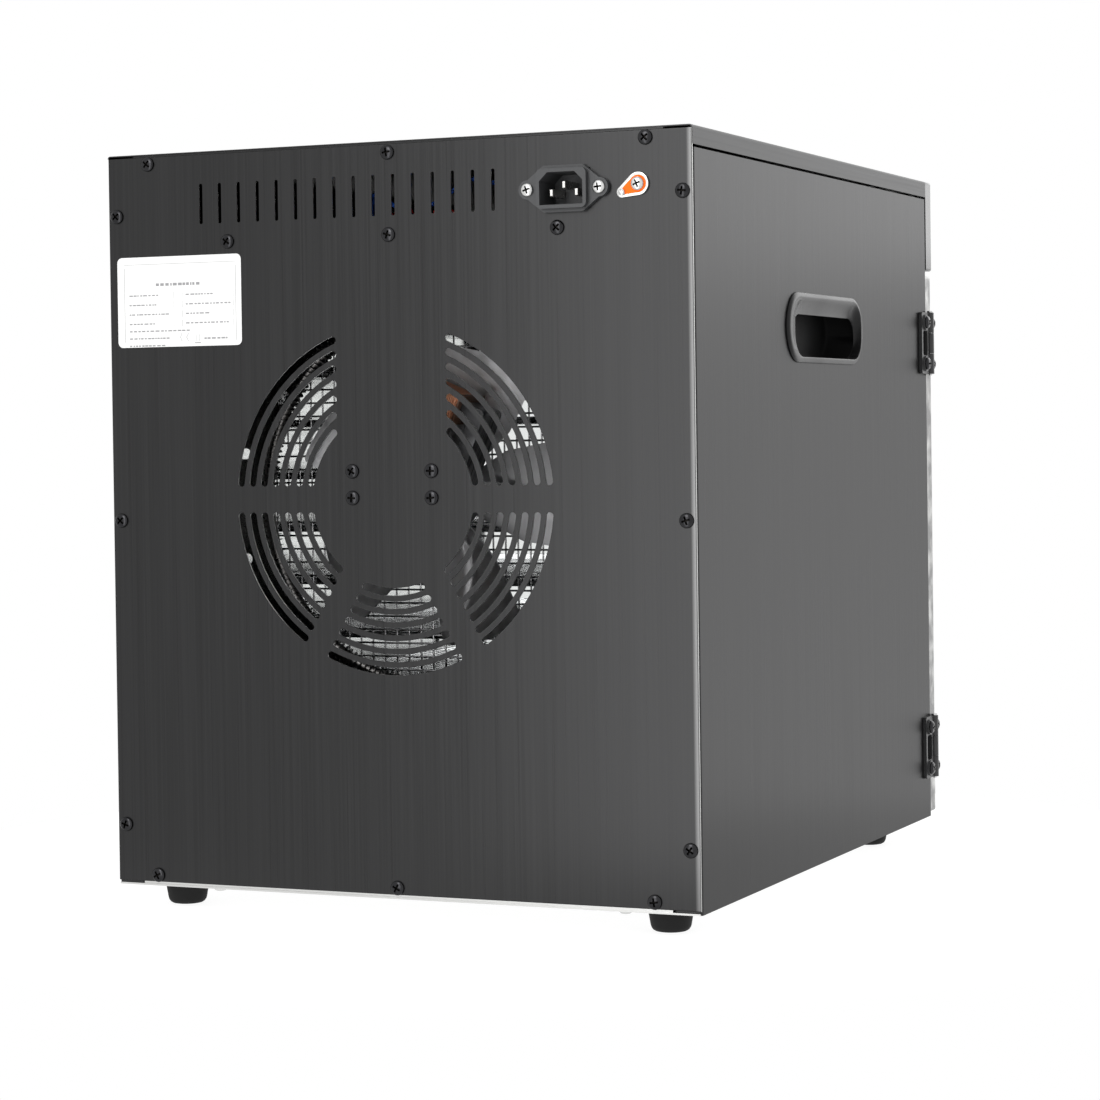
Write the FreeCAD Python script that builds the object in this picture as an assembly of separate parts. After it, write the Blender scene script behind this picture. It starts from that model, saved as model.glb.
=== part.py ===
import FreeCAD, Part
import math
import os
from FreeCAD import Vector

# Box-type food dehydrator: brushed steel cabinet, glass door, ten wire trays and a rear fan.
# Millimetres, +Z up. The door faces -Y, the fan vent and the mains inlet face +Y.
# The origin is the centre of the footprint box, on the surface that the feet stand on.

# ---------------------------------------------------------------- driving dimensions
CABINET_WIDTH = 345.0
CABINET_HEIGHT = 402.5
BODY_DEPTH = 415.0        # rear panel's face to front frame's face
DOOR_DEPTH = 12.0         # door and control fascia, in front of the front frame
FOOT_HEIGHT = 13.0
INLET_RELIEF = 6.0        # how far the mains inlet stands out of the rear panel
HANDLE_REACH = 24.0       # how far the door handle stands out of the door
SHEET = 0.6               # side panels, cover and liner
PANEL_SHEET = 0.8         # rear panel and front frame
BASE_SHEET = 1.0

# Faces of the cabinet
REAR = (BODY_DEPTH + DOOR_DEPTH + HANDLE_REACH - INLET_RELIEF) / 2
FRONT = REAR - BODY_DEPTH
FACE = FRONT - DOOR_DEPTH
SIDE = CABINET_WIDTH / 2
BOTTOM = FOOT_HEIGHT
TOP = BOTTOM + CABINET_HEIGHT
PANEL_BACK = REAR - PANEL_SHEET

# Casing
BEND_RADIUS = 2.0         # outside of the side panels' bends
COVER_BEND_RADIUS = 1.5
FLANGE_WIDTH = 15.5       # inward flanges of the side panels
COVER_FLANGE = 10.0       # outer flange of the top cover
COVER_GAP = 1.5           # shadow gap under that flange
BASE_UPSTAND = 13.0
FIT_GAP = 0.2

# Rear panel features, heights above the cabinet's bottom
VENT_HEIGHT = 212.8
VENT_OUTER_RADIUS = 93.6
VENT_RINGS = 7
VENT_SLOT_WIDTH = 4.0
VENT_RING_PITCH = 7.05
VENT_RIB_WIDTH = 14.0
VENT_BAND_HALF_WIDTH = 32.3
TOP_SLOT_COUNT = 16
TOP_SLOT_PITCH = 11.67
TOP_SLOT_FIRST_X = 113.8
TOP_SLOT_WIDTH = 2.0
TOP_SLOT_LOW = 363.0
TOP_SLOT_HIGH = 385.0
LABEL_X = 128.4
LABEL_HEIGHT = 321.5
LABEL_SIZE = (77.8, 49.5)
LABEL_THICKNESS = 0.15

# Screws
SCREW_RADIUS = 1.9
SCREW_HEAD_RADIUS = 3.5
SCREW_HEAD_HEIGHT = 2.1
SCREW_LENGTH = 7.0
REAR_EDGE_SCREWS = [
    (147.0, 397.0),
    (167.0, 369.0),
    (97.5, 353.0),
    (167.0, 201.4),
    (167.0, 33.3),
    (147.0, 6.0),
]
REAR_CENTRE_SCREWS = [396.5, 353.0, 6.0]
MOTOR_SCREW_X = 23.4
BASE_SCREW_X = (-128.0, 112.0)
MOTOR_SCREW_HEIGHTS = (213.5, 227.7)

# Mains inlet and earth lug
INLET_X = -102.2
INLET_HEIGHT = 372.7
INLET_SCREW_SPACING = 40.0
INLET_CAVITY = (24.2, 16.8)
INLET_BODY = (28.0, 20.6)
INLET_BODY_DEPTH = 19.0   # behind the rear panel's face
INLET_CAVITY_DEPTH = 15.0
LUG_BIG = (-143.0, 373.5, 6.0)
LUG_SMALL = (-131.0, 368.0, 3.5)
LUG_THICKNESS = 1.6

# Carry handles
GRIP_Y = 13.2
GRIP_HEIGHT = 303.7
GRIP_LENGTH = 135.0
GRIP_TALL = 39.4
GRIP_FLANGE = 2.0
GRIP_DEPTH = 22.5
GRIP_WALL = 1.6
GRIP_INSET = 2.0          # from the flange's outline to the pocket's
GRIP_MOUTH_LOW = 287.8
GRIP_MOUTH_HIGH = 311.4
GRIP_MOUTH_REAR = 61.4
GRIP_MOUTH_FRONT = -49.0
GRIP_MOUTH_RADIUS = 11.0
GRIP_SCOOP = {"rear": 9.0, "front": 1.0, "high": 8.5, "low": 0.6}  # how far the mouth flares outward
GRIP_SCOOP_RADIUS = 14.0

# Feet
FOOT_TOP_RADIUS = 12.25
FOOT_BOTTOM_RADIUS = 10.0
FOOT_X = 145.0
FOOT_REAR_Y = 195.0
FOOT_FRONT_Y = -146.0

# Chamber
LINER_X = 148.0           # inner face of the liner walls
CHAMBER_LOW = BOTTOM + 23.0
CHAMBER_HIGH = BOTTOM + 336.0
BAFFLE_BACK = 146.0
BAFFLE_HOLE_RADIUS = 116.0
OUTLET_X = (128.0, 142.0)  # span of the air outlets beside the intake
GUARD_WIRE = 1.2
GUARD_PITCH = 15.0
GUARD_ARCS = 16           # lengths that the guard's ring is rolled from

# Trays
TRAY_COUNT = 10
TRAY_PITCH = 30.0
TRAY_FIRST_Z = 55.0
TRAY_HALF_WIDTH = 144.5
TRAY_FRONT = -184.0
TRAY_BACK = 136.0
TRAY_RIM = 4.0
TRAY_WIRE = 1.6
TRAY_WIRE_PITCH = 12.0
TRAY_CROSS_BARS = 3
LEDGE_THICKNESS = 1.2
LEDGE_REACH = 9.4
UPRIGHT_THICKNESS = 1.5

# Fan and motor
FAN_Z = BOTTOM + VENT_HEIGHT
FAN_Y = 164.0
FAN_RADIUS = 82.5
FAN_BLADES = 5
BLADE_Y = 160.0           # middle of a blade's chord
BLADE_PITCH_DEG = 22.0
BLADE_THICKNESS = 1.2
BLADE_CURVE = 150.0
BLADE_FIRST_DEG = -35.0   # first blade's place about +Y from +X
BLADE_ROOT_HALF = 11.0    # half of a blade's width at its root, at its shoulder and at its tip
BLADE_SHOULDER = (44.0, 26.5)
BLADE_TIP_HALF = 34.5
BLADE_CORNER = 12.0
HUB_RADIUS = 22.0
SHAFT_RADIUS = 3.0
SHAFT_CLEARANCE = 0.05
ROTOR_RADIUS = 16.0
AIR_GAP = 0.4
STATOR_FRONT = 186.0
STATOR_BACK = 209.0
MOTOR_TILT_DEG = -22.0
COIL_LOW = 48.0           # above the fan's axis, before the tilt
COIL_HIGH = 64.5
COIL_HALF_LENGTH = 14.0
COIL_WALL = 4.0
HEATER_RADIUS = 106.0
HEATER_FIN_RADIUS = 5.0
HEATER_TUBE_RADIUS = 3.25
HEATER_Y = 165.0
HEATER_LEAD_X = 13.0

# Door
DOOR_LOW = BOTTOM + 2.0
DOOR_HIGH = BOTTOM + 342.8
DOOR_HALF_WIDTH = SIDE - 1.0
DOOR_BACK = FRONT - 1.0
DOOR_BORDER = 26.0
GLASS_THICKNESS = 4.0
GLASS_LAP = 4.0
DOOR_SKIN = 3.0           # steel in front of the glass rebate
PULL_X = 157.0
PULL_HEIGHT = 172.0
PULL_LENGTH = 150.0
PULL_BAR = 10.0

# Hinges
HINGE_HEIGHTS = (44.4, 300.0)
HINGE_TALL = 39.0
HINGE_X = -(SIDE + 2.1)
HINGE_Y = FRONT - 0.5
KNUCKLE_RADIUS = 2.4
KNUCKLE_GAP = 0.3
PIN_RADIUS = 1.2
LEAF_THICKNESS = 2.1
HINGE_BOSS_RADIUS = 4.8
LEAF_BACK = FRONT + 17.5

# Controls
FASCIA_LOW = BOTTOM + 346.0
FASCIA_WALL = 2.0
CONTROL_Z = 387.0
DISPLAY_SIZE = (100.0, 34.0)
BUTTON_RADIUS = 7.0
BUTTON_GAP = 0.3
BUTTON_PROUD = 2.0
BUTTONS = {"power_button": -112.0, "start_button": -80.0, "minus_button": 80.0, "plus_button": 112.0}

X_AXIS = Vector(1, 0, 0)
Y_AXIS = Vector(0, 1, 0)
Z_AXIS = Vector(0, 0, 1)


# ---------------------------------------------------------------- shared shapes
def block(x0, x1, y0, y1, z0, z1):
    """Box between two corners."""
    return Part.makeBox(x1 - x0, y1 - y0, z1 - z0, Vector(x0, y0, z0))


def rod(start, end, radius):
    """Round bar between two points."""
    direction = end - start
    return Part.makeCylinder(radius, direction.Length, start, direction)


def rounded(shape, direction, radius):
    """Fillet every straight edge that runs along one direction."""
    edges = [edge for edge in shape.Edges if runs_along(edge, direction)]
    return shape.makeFillet(radius, edges)


def runs_along(edge, direction):
    """Whether an edge is straight and parallel to a direction."""
    if not isinstance(edge.Curve, Part.Line):
        return False
    return edge.Curve.Direction.cross(direction).Length < 1e-6


def joined(shapes):
    """One solid from touching or overlapping shapes."""
    return shapes[0].fuse(shapes[1:]).removeSplitter()


def mirrored(shape):
    """The same shape on the other side of the cabinet."""
    return shape.mirror(Vector(0, 0, 0), X_AXIS)


def pan_screw(position, direction, length=SCREW_LENGTH):
    """Pan-head screw with a cross recess; the head's seat is at position."""
    head = Part.makeCylinder(SCREW_HEAD_RADIUS, SCREW_HEAD_HEIGHT)
    rim = [edge for edge in head.Edges if edge.BoundBox.ZMin > SCREW_HEAD_HEIGHT - 0.01]
    head = head.makeFillet(SCREW_HEAD_HEIGHT * 0.8, rim)
    arm = SCREW_HEAD_RADIUS * 0.55
    recess_floor = SCREW_HEAD_HEIGHT * 0.45
    recess = [
        block(-arm, arm, -0.5, 0.5, recess_floor, SCREW_HEAD_HEIGHT + 1),
        block(-0.5, 0.5, -arm, arm, recess_floor, SCREW_HEAD_HEIGHT + 1),
    ]
    shank = Part.makeCylinder(SCREW_RADIUS, length, Vector(0, 0, -length))
    screw = head.fuse(shank).cut(recess)
    screw.Placement = FreeCAD.Placement(position, FreeCAD.Rotation(Z_AXIS, direction))
    return screw


def rear_screw_places():
    """Places on the rear panel of every casing screw."""
    places = [(side * x, z) for x, z in REAR_EDGE_SCREWS for side in (-1, 1)]
    places += [(0.0, z) for z in REAR_CENTRE_SCREWS]
    return [Vector(x, REAR, BOTTOM + z) for x, z in places]


def motor_screw_places():
    """Places on the rear panel of the motor bracket's screws."""
    return [Vector(x, REAR, BOTTOM + z) for x in (-MOTOR_SCREW_X, MOTOR_SCREW_X) for z in MOTOR_SCREW_HEIGHTS]


def inlet_screw_places():
    """Places on the rear panel of the inlet's two screws."""
    half = INLET_SCREW_SPACING / 2
    return [Vector(INLET_X + offset, REAR, BOTTOM + INLET_HEIGHT) for offset in (-half, half)]


def lug_screw_place():
    """Place on the rear panel of the earth screw."""
    return Vector(LUG_BIG[0], REAR, BOTTOM + LUG_BIG[1])


def base_screw_places():
    """Places under the base of the screws that hold the chamber's supports."""
    return [Vector(x, y, BOTTOM) for x in BASE_SCREW_X for y in (FRONT + 30, REAR - 7)]


def holes_along_y(places):
    """Cutters for screw holes through the sheets behind the rear panel's face."""
    radius = SCREW_RADIUS + 0.1
    return [rod(place - Y_AXIS * 12, place + Y_AXIS * 3, radius) for place in places]


def body_hinge_screw_places():
    """Places on the left side panel of the hinge screws."""
    y = LEAF_BACK - 6.5
    offset = HINGE_TALL / 3
    return [Vector(-SIDE, y, BOTTOM + z + up) for z in HINGE_HEIGHTS for up in (-offset, offset)]


# ---------------------------------------------------------------- casing
def vent_slot(radius, start_deg, end_deg):
    """Cutter for one curved vent slot with round ends."""
    half = VENT_SLOT_WIDTH / 2

    def point(distance, degrees):
        angle = math.radians(degrees)
        return Vector(distance * math.cos(angle), 0, distance * math.sin(angle))

    def cap(degrees, sense):
        angle = math.radians(degrees)
        tangent = Vector(-math.sin(angle), 0, math.cos(angle)) * (sense * half)
        inner = point(radius - half, degrees)
        outer = point(radius + half, degrees)
        return Part.Arc(inner, point(radius, degrees) + tangent, outer).toShape()

    middle = (start_deg + end_deg) / 2
    edges = [
        cap(start_deg, -1),
        Part.Arc(*[point(radius + half, angle) for angle in (start_deg, middle, end_deg)]).toShape(),
        cap(end_deg, 1),
        Part.Arc(*[point(radius - half, angle) for angle in (start_deg, middle, end_deg)]).toShape(),
    ]
    face = Part.Face(Part.Wire(Part.__sortEdges__(edges)))
    slot = face.extrude(Y_AXIS * 4)
    slot.translate(Vector(0, PANEL_BACK - 1, FAN_Z))
    return slot


def vent_slots():
    """Five sectors of concentric slots around the fan's axis."""
    half = VENT_SLOT_WIDTH / 2
    slots = []
    for ring in range(VENT_RINGS):
        radius = VENT_OUTER_RADIUS - half - ring * VENT_RING_PITCH
        rib = math.degrees(math.asin((VENT_RIB_WIDTH / 2 + half) / radius))
        band = math.degrees(math.acos((VENT_BAND_HALF_WIDTH + half) / radius))
        sectors = [(rib, band), (180 - band, 180 - rib)]
        sectors += [(start + rib, start + 60 - rib) for start in (180, 240, 300)]
        slots += [vent_slot(radius, start, end) for start, end in sectors]
    return slots


def top_slots():
    """Row of narrow cooling slots above the vent."""
    half = TOP_SLOT_WIDTH / 2
    slots = []
    for index in range(TOP_SLOT_COUNT):
        x = TOP_SLOT_FIRST_X - index * TOP_SLOT_PITCH
        z0 = BOTTOM + TOP_SLOT_LOW
        z1 = BOTTOM + TOP_SLOT_HIGH
        slots.append(rounded(block(x - half, x + half, PANEL_BACK - 1, REAR + 1, z0, z1), Y_AXIS, half * 0.95))
    return slots


def make_rear_panel():
    """Flat rear panel with rolled outer edges, vents, screw holes and the inlet's cut-out."""
    panel = block(-SIDE + FIT_GAP, SIDE - FIT_GAP, PANEL_BACK, REAR, BOTTOM + 2.2, TOP - COVER_GAP)
    outer = [edge for edge in panel.Edges if edge.BoundBox.YMin > REAR - 0.01]
    panel = panel.makeFillet(PANEL_SHEET * 0.7, outer)
    width, height = INLET_BODY
    z = BOTTOM + INLET_HEIGHT
    inlet_hole = block(
        INLET_X - width / 2 - FIT_GAP,
        INLET_X + width / 2 + FIT_GAP,
        PANEL_BACK - 1,
        REAR + 1,
        z - height / 2 - FIT_GAP,
        z + height / 2 + FIT_GAP,
    )
    screws = rear_screw_places() + motor_screw_places() + inlet_screw_places() + [lug_screw_place()]
    return panel.cut(vent_slots() + top_slots() + [inlet_hole] + holes_along_y(screws))


def make_top_cover():
    """Cover with outer side flanges and a rear flange that takes the top screws."""
    low = TOP - COVER_FLANGE
    cover = block(-SIDE, SIDE, FRONT, REAR, low, TOP)
    bends = [edge for edge in cover.Edges if runs_along(edge, Y_AXIS) and edge.BoundBox.ZMin > TOP - 0.01]
    cover = cover.makeFillet(COVER_BEND_RADIUS, bends)
    inside = block(-SIDE + SHEET, SIDE - SHEET, FRONT - 1, REAR + 1, low - 3, TOP - SHEET)
    inside = rounded(inside, Y_AXIS, COVER_BEND_RADIUS - SHEET)
    panel_notch = block(-SIDE - 1, SIDE + 1, PANEL_BACK, REAR + 1, low - 1, TOP - COVER_GAP)
    flange_x = SIDE - FLANGE_WIDTH - 0.5
    flange = block(-flange_x, flange_x, PANEL_BACK - PANEL_SHEET, PANEL_BACK, TOP - 14, TOP - SHEET)
    cover = joined([cover.cut([inside, panel_notch]), flange])
    return cover.cut(holes_along_y(rear_screw_places()))


def make_side_panel():
    """Left side panel with inward flanges at its rear, front and top edges and the handle's cut-out."""
    high = TOP - COVER_FLANGE - COVER_GAP
    inner_x = -SIDE + FLANGE_WIDTH
    front = FRONT + PANEL_SHEET
    shell = rounded(block(-SIDE, inner_x, front, PANEL_BACK, BOTTOM, high), Z_AXIS, BEND_RADIUS)
    hollow = block(-SIDE + SHEET, inner_x + 3, front + SHEET, PANEL_BACK - SHEET, BOTTOM - 1, high - SHEET)
    hollow = rounded(hollow, Z_AXIS, BEND_RADIUS - SHEET)
    base_notch = BOTTOM + BASE_SHEET + FIT_GAP
    foot_notch = block(-SIDE + SHEET, inner_x + 1, front - 1, PANEL_BACK + 1, BOTTOM - 1, base_notch)
    half_long = GRIP_LENGTH / 2 - GRIP_INSET + FIT_GAP
    half_tall = GRIP_TALL / 2 - GRIP_INSET + FIT_GAP
    z = BOTTOM + GRIP_HEIGHT
    grip_hole = block(-SIDE - 1, -SIDE + 2, GRIP_Y - half_long, GRIP_Y + half_long, z - half_tall, z + half_tall)
    grip_hole = rounded(grip_hole, X_AXIS, half_tall - 0.01)
    return shell.cut([hollow, foot_notch, grip_hole] + holes_along_y(rear_screw_places()))


def make_left_side_panel():
    """The side panel on the hinge side, drilled for the hinge screws."""
    radius = SCREW_RADIUS + 0.1
    holes = [rod(place - X_AXIS * 2, place + X_AXIS * 3, radius) for place in body_hinge_screw_places()]
    return make_side_panel().cut(holes)


def make_base_plate():
    """Bare steel base with upstands along its sides and behind the rear panel."""
    half = SIDE - SHEET - FIT_GAP
    plate = block(-half, half, FRONT + PANEL_SHEET + SHEET + FIT_GAP, REAR - FIT_GAP, BOTTOM, BOTTOM + BASE_SHEET)
    z1 = BOTTOM + BASE_SHEET + BASE_UPSTAND
    rear_half = SIDE - FLANGE_WIDTH - 0.5
    upstands = [block(-rear_half, rear_half, PANEL_BACK - PANEL_SHEET, PANEL_BACK, BOTTOM, z1)]
    for side in (-1, 1):
        x0, x1 = sorted((side * half, side * (half - PANEL_SHEET)))
        upstands.append(block(x0, x1, FRONT + 8, PANEL_BACK - 8, BOTTOM, z1))
    lift = Z_AXIS * 3
    base_holes = [rod(place - lift, place + lift, SCREW_RADIUS + 0.1) for place in base_screw_places()]
    return joined([plate] + upstands).cut(holes_along_y(rear_screw_places()) + base_holes)


def make_front_frame():
    """Flat frame around the chamber's mouth, with a cable window behind the control fascia."""
    half = SIDE - SHEET - FIT_GAP
    frame = block(-half, half, FRONT, FRONT + PANEL_SHEET, BOTTOM, TOP - SHEET - FIT_GAP)
    mouth = block(-LINER_X + 0.5, LINER_X - 0.5, FRONT - 1, FRONT + 3, CHAMBER_LOW + 0.5, CHAMBER_HIGH - 0.5)
    cable_window = block(30, 70, FRONT - 1, FRONT + 3, 372, 396)
    return frame.cut([rounded(mouth, Y_AXIS, 4), rounded(cable_window, Y_AXIS, 3)])


def make_black_screws():
    """Casing, motor bracket and body hinge screws."""
    screws = [pan_screw(place, Y_AXIS) for place in rear_screw_places() + motor_screw_places()]
    leaf_face = X_AXIS * (LEAF_THICKNESS + 1.2)
    screws += [pan_screw(place - leaf_face, X_AXIS * -1) for place in body_hinge_screw_places()]
    return Part.makeCompound(screws)


def make_bright_screws():
    """Inlet, earth and base screws in bright steel."""
    flange = Y_AXIS * 3.0
    screws = [pan_screw(place + flange, Y_AXIS, SCREW_LENGTH + 3) for place in inlet_screw_places()]
    screws.append(pan_screw(lug_screw_place() + Y_AXIS * LUG_THICKNESS, Y_AXIS))
    screws += [pan_screw(place, Z_AXIS * -1, 4) for place in base_screw_places()]
    return Part.makeCompound(screws)


def make_rubber_feet():
    """Four tapered feet under the base."""
    places = [(x, y) for x in (-FOOT_X, FOOT_X) for y in (FOOT_FRONT_Y, FOOT_REAR_Y)]
    foot = Part.makeCone(FOOT_BOTTOM_RADIUS, FOOT_TOP_RADIUS, FOOT_HEIGHT)
    rim = [edge for edge in foot.Edges if edge.BoundBox.ZMax < 0.01]
    foot = foot.makeFillet(1.0, rim)
    feet = []
    for x, y in places:
        copy = foot.copy()
        copy.translate(Vector(x, y, 0))
        feet.append(copy)
    return Part.makeCompound(feet)


def make_rating_label():
    """Blank rounded label on the rear panel."""
    width, height = LABEL_SIZE
    z = BOTTOM + LABEL_HEIGHT
    label = block(
        LABEL_X - width / 2, LABEL_X + width / 2, REAR, REAR + LABEL_THICKNESS, z - height / 2, z + height / 2
    )
    return rounded(label, Y_AXIS, 3)


def grip_mouth_outline(x, flare, radius):
    """Wire around the handle's mouth in the plane at x, flared outward on each side by a share of the scoop."""
    y0 = GRIP_MOUTH_FRONT - flare * GRIP_SCOOP["front"]
    y1 = GRIP_MOUTH_REAR + flare * GRIP_SCOOP["rear"]
    z0 = BOTTOM + GRIP_MOUTH_LOW - flare * GRIP_SCOOP["low"]
    z1 = BOTTOM + GRIP_MOUTH_HIGH + flare * GRIP_SCOOP["high"]
    outline = rounded(block(x, x + 1, y0, y1, z0, z1), X_AXIS, radius)
    face = min(outline.Faces, key=lambda side: side.CenterOfMass.x)
    return face.OuterWire


def make_left_handle():
    """Recessed carry handle: a flange, a pocket and a flared mouth whose upper lip the fingers hook behind."""
    z = BOTTOM + GRIP_HEIGHT
    outer = -SIDE - GRIP_FLANGE
    half_long = GRIP_LENGTH / 2
    half_tall = GRIP_TALL / 2
    flange = block(outer, -SIDE, GRIP_Y - half_long, GRIP_Y + half_long, z - half_tall, z + half_tall)
    flange = rounded(flange, X_AXIS, half_tall - 0.01)
    edge = [e for e in flange.Edges if e.BoundBox.XMax < outer + 0.01]
    flange = flange.makeFillet(1.2, edge)

    def pocket(inset, x0, x1):
        long_half = half_long - GRIP_INSET - inset
        tall_half = half_tall - GRIP_INSET - inset
        shape = block(x0, x1, GRIP_Y - long_half, GRIP_Y + long_half, z - tall_half, z + tall_half)
        return rounded(shape, X_AXIS, tall_half - 0.01)

    body = pocket(0, -SIDE, -SIDE + GRIP_DEPTH)
    lip_back = -SIDE + 2.5
    hollow = pocket(GRIP_WALL, lip_back, -SIDE + GRIP_DEPTH - GRIP_WALL)
    outer_wire = grip_mouth_outline(outer - 0.2, 1.0, GRIP_SCOOP_RADIUS)
    inner_wire = grip_mouth_outline(lip_back + 0.2, 0.0, GRIP_MOUTH_RADIUS)
    mouth = Part.makeLoft([outer_wire, inner_wire], True, True)
    return joined([flange, body]).cut([hollow, mouth])


# ---------------------------------------------------------------- mains entry
def make_power_inlet():
    """Three-pin appliance inlet: lozenge flange, raised collar and socket."""
    z = BOTTOM + INLET_HEIGHT
    width, height = INLET_BODY
    ear_x = INLET_SCREW_SPACING / 2
    ear_radius = 5.0
    centre = Vector(INLET_X, REAR, z)
    ears = [Part.makeCylinder(ear_radius, 3.0, centre + X_AXIS * x, Y_AXIS) for x in (-ear_x, ear_x)]
    flange_points = [
        centre + Vector(-ear_x, 0, -ear_radius),
        centre + Vector(-width / 2 + 3, 0, -height / 2 - 1.8),
        centre + Vector(width / 2 - 3, 0, -height / 2 - 1.8),
        centre + Vector(ear_x, 0, -ear_radius),
        centre + Vector(ear_x, 0, ear_radius),
        centre + Vector(width / 2 - 3, 0, height / 2 + 1.8),
        centre + Vector(-width / 2 + 3, 0, height / 2 + 1.8),
        centre + Vector(-ear_x, 0, ear_radius),
    ]
    flange = Part.Face(Part.makePolygon(flange_points + flange_points[:1])).extrude(Y_AXIS * 3.0)
    x0 = INLET_X - width / 2
    x1 = INLET_X + width / 2
    z0 = z - height / 2
    z1 = z + height / 2
    collar = rounded(block(x0, x1, REAR, REAR + INLET_RELIEF, z0, z1), Y_AXIS, 3)
    body = rounded(block(x0, x1, REAR - INLET_BODY_DEPTH, REAR, z0, z1), Y_AXIS, 3)
    cavity = inlet_cavity(REAR - INLET_CAVITY_DEPTH, REAR + INLET_RELIEF + 1)
    holes = [rod(place - Y_AXIS, place + Y_AXIS * 4, SCREW_RADIUS + 0.1) for place in inlet_screw_places()]
    return joined([flange, collar, body] + ears).cut([cavity] + holes)


def inlet_cavity(y0, y1):
    """The socket's hollow: a rectangle with two chamfered upper corners."""
    width, height = INLET_CAVITY
    z = BOTTOM + INLET_HEIGHT
    cavity = block(INLET_X - width / 2, INLET_X + width / 2, y0, y1, z - height / 2, z + height / 2)
    upper = [edge for edge in cavity.Edges if runs_along(edge, Y_AXIS) and edge.BoundBox.ZMin > z]
    return cavity.makeChamfer(4.5, upper)


def make_inlet_pins():
    """Three flat pins standing on the socket's floor."""
    z = BOTTOM + INLET_HEIGHT
    pins = []
    for x, up in ((-7.0, -2.0), (0.0, 2.0), (7.0, -2.0)):
        y0 = REAR - INLET_CAVITY_DEPTH
        y1 = REAR + INLET_RELIEF - 4
        pins.append(block(INLET_X + x - 1, INLET_X + x + 1, y0, y1, z + up - 2, z + up + 2))
    return Part.makeCompound(pins)


def make_earth_lug():
    """Pear-shaped ring terminal under the earth screw, with a rivet at its narrow end."""
    big = Vector(LUG_BIG[0], REAR, BOTTOM + LUG_BIG[1])
    small = Vector(LUG_SMALL[0], REAR, BOTTOM + LUG_SMALL[1])
    big_radius = LUG_BIG[2]
    small_radius = LUG_SMALL[2]
    along = (small - big).normalize()
    across = along.cross(Y_AXIS)
    corners = [
        big + across * big_radius,
        small + across * small_radius,
        small - across * small_radius,
        big - across * big_radius,
    ]
    web = Part.Face(Part.makePolygon(corners + corners[:1])).extrude(Y_AXIS * LUG_THICKNESS)
    big_end = Part.makeCylinder(big_radius, LUG_THICKNESS, big, Y_AXIS)
    small_end = Part.makeCylinder(small_radius, LUG_THICKNESS, small, Y_AXIS)
    rivet = Part.makeCylinder(small_radius * 0.6, LUG_THICKNESS + 1.2, small, Y_AXIS)
    hole = rod(big - Y_AXIS, big + Y_AXIS * 4, SCREW_RADIUS + 0.1)
    return joined([web, big_end, small_end, rivet]).cut(hole)


def lead(points, radius=1.1, bend=7.0):
    """Insulated wire: straight runs joined by tangent arcs."""
    edges = []
    start = points[0]
    for before, corner, after in zip(points, points[1:], points[2:]):
        incoming = (corner - before).normalize()
        outgoing = (after - corner).normalize()
        turn = incoming.getAngle(outgoing)
        reach = bend * math.tan(turn / 2)
        arc_start = corner - incoming * reach
        arc_end = corner + outgoing * reach
        inward = (outgoing - incoming).normalize()
        middle = corner + inward * (bend / math.cos(turn / 2) - bend)
        edges.append(Part.LineSegment(start, arc_start).toShape())
        edges.append(Part.Arc(arc_start, middle, arc_end).toShape())
        start = arc_end
    edges.append(Part.LineSegment(start, points[-1]).toShape())
    path = Part.Wire(edges)
    profile = Part.Wire(Part.Circle(points[0], points[1] - points[0], radius).toShape())
    return path.makePipeShell([profile], True, False)


def make_blue_wires():
    """Neutral leads from the inlet, past the cooling slots, to the control board."""
    inlet_z = BOTTOM + INLET_HEIGHT
    inlet_back = REAR - INLET_BODY_DEPTH - 0.1
    first = lead([
        Vector(INLET_X + 7, inlet_back, inlet_z - 2),
        Vector(INLET_X + 7, inlet_back - 14, inlet_z - 2),
        Vector(-36, inlet_back - 8, 396),
        Vector(-2, inlet_back - 6, 376),
        Vector(24, inlet_back - 12, 392),
        Vector(50, inlet_back - 60, 362),
        Vector(50, -160, 362),
        Vector(46, FRONT - 1.6, 384),
    ])
    second = lead([
        Vector(20, inlet_back - 34, 352.2),
        Vector(20, inlet_back - 34, 372),
        Vector(56, inlet_back - 74, 374),
        Vector(58, -158, 370),
        Vector(54, FRONT - 1.6, 388),
    ])
    return Part.makeCompound([first, second])


def make_red_wires():
    """Live leads from the inlet and the heater to the control board."""
    inlet_z = BOTTOM + INLET_HEIGHT
    inlet_back = REAR - INLET_BODY_DEPTH - 0.1
    first = lead([
        Vector(INLET_X - 7, inlet_back, inlet_z - 2),
        Vector(INLET_X - 7, inlet_back - 24, inlet_z - 2),
        Vector(-44, inlet_back - 20, 372),
        Vector(-12, inlet_back - 18, 382),
        Vector(12, inlet_back - 26, 362),
        Vector(38, inlet_back - 70, 356),
        Vector(38, -162, 356),
        Vector(38, FRONT - 1.6, 380),
    ])
    second = lead([
        Vector(HEATER_LEAD_X, HEATER_Y, 364),
        Vector(HEATER_LEAD_X, HEATER_Y, 384),
        Vector(66, HEATER_Y - 50, 382),
        Vector(66, -156, 378),
        Vector(62, FRONT - 1.6, 384),
    ])
    return Part.makeCompound([first, second])


# ---------------------------------------------------------------- chamber
def make_liner_wall():
    """Left chamber wall, from the front frame to the rear compartment."""
    return block(-LINER_X - SHEET, -LINER_X, FRONT + PANEL_SHEET, PANEL_BACK - 2, CHAMBER_LOW, CHAMBER_HIGH)


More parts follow.
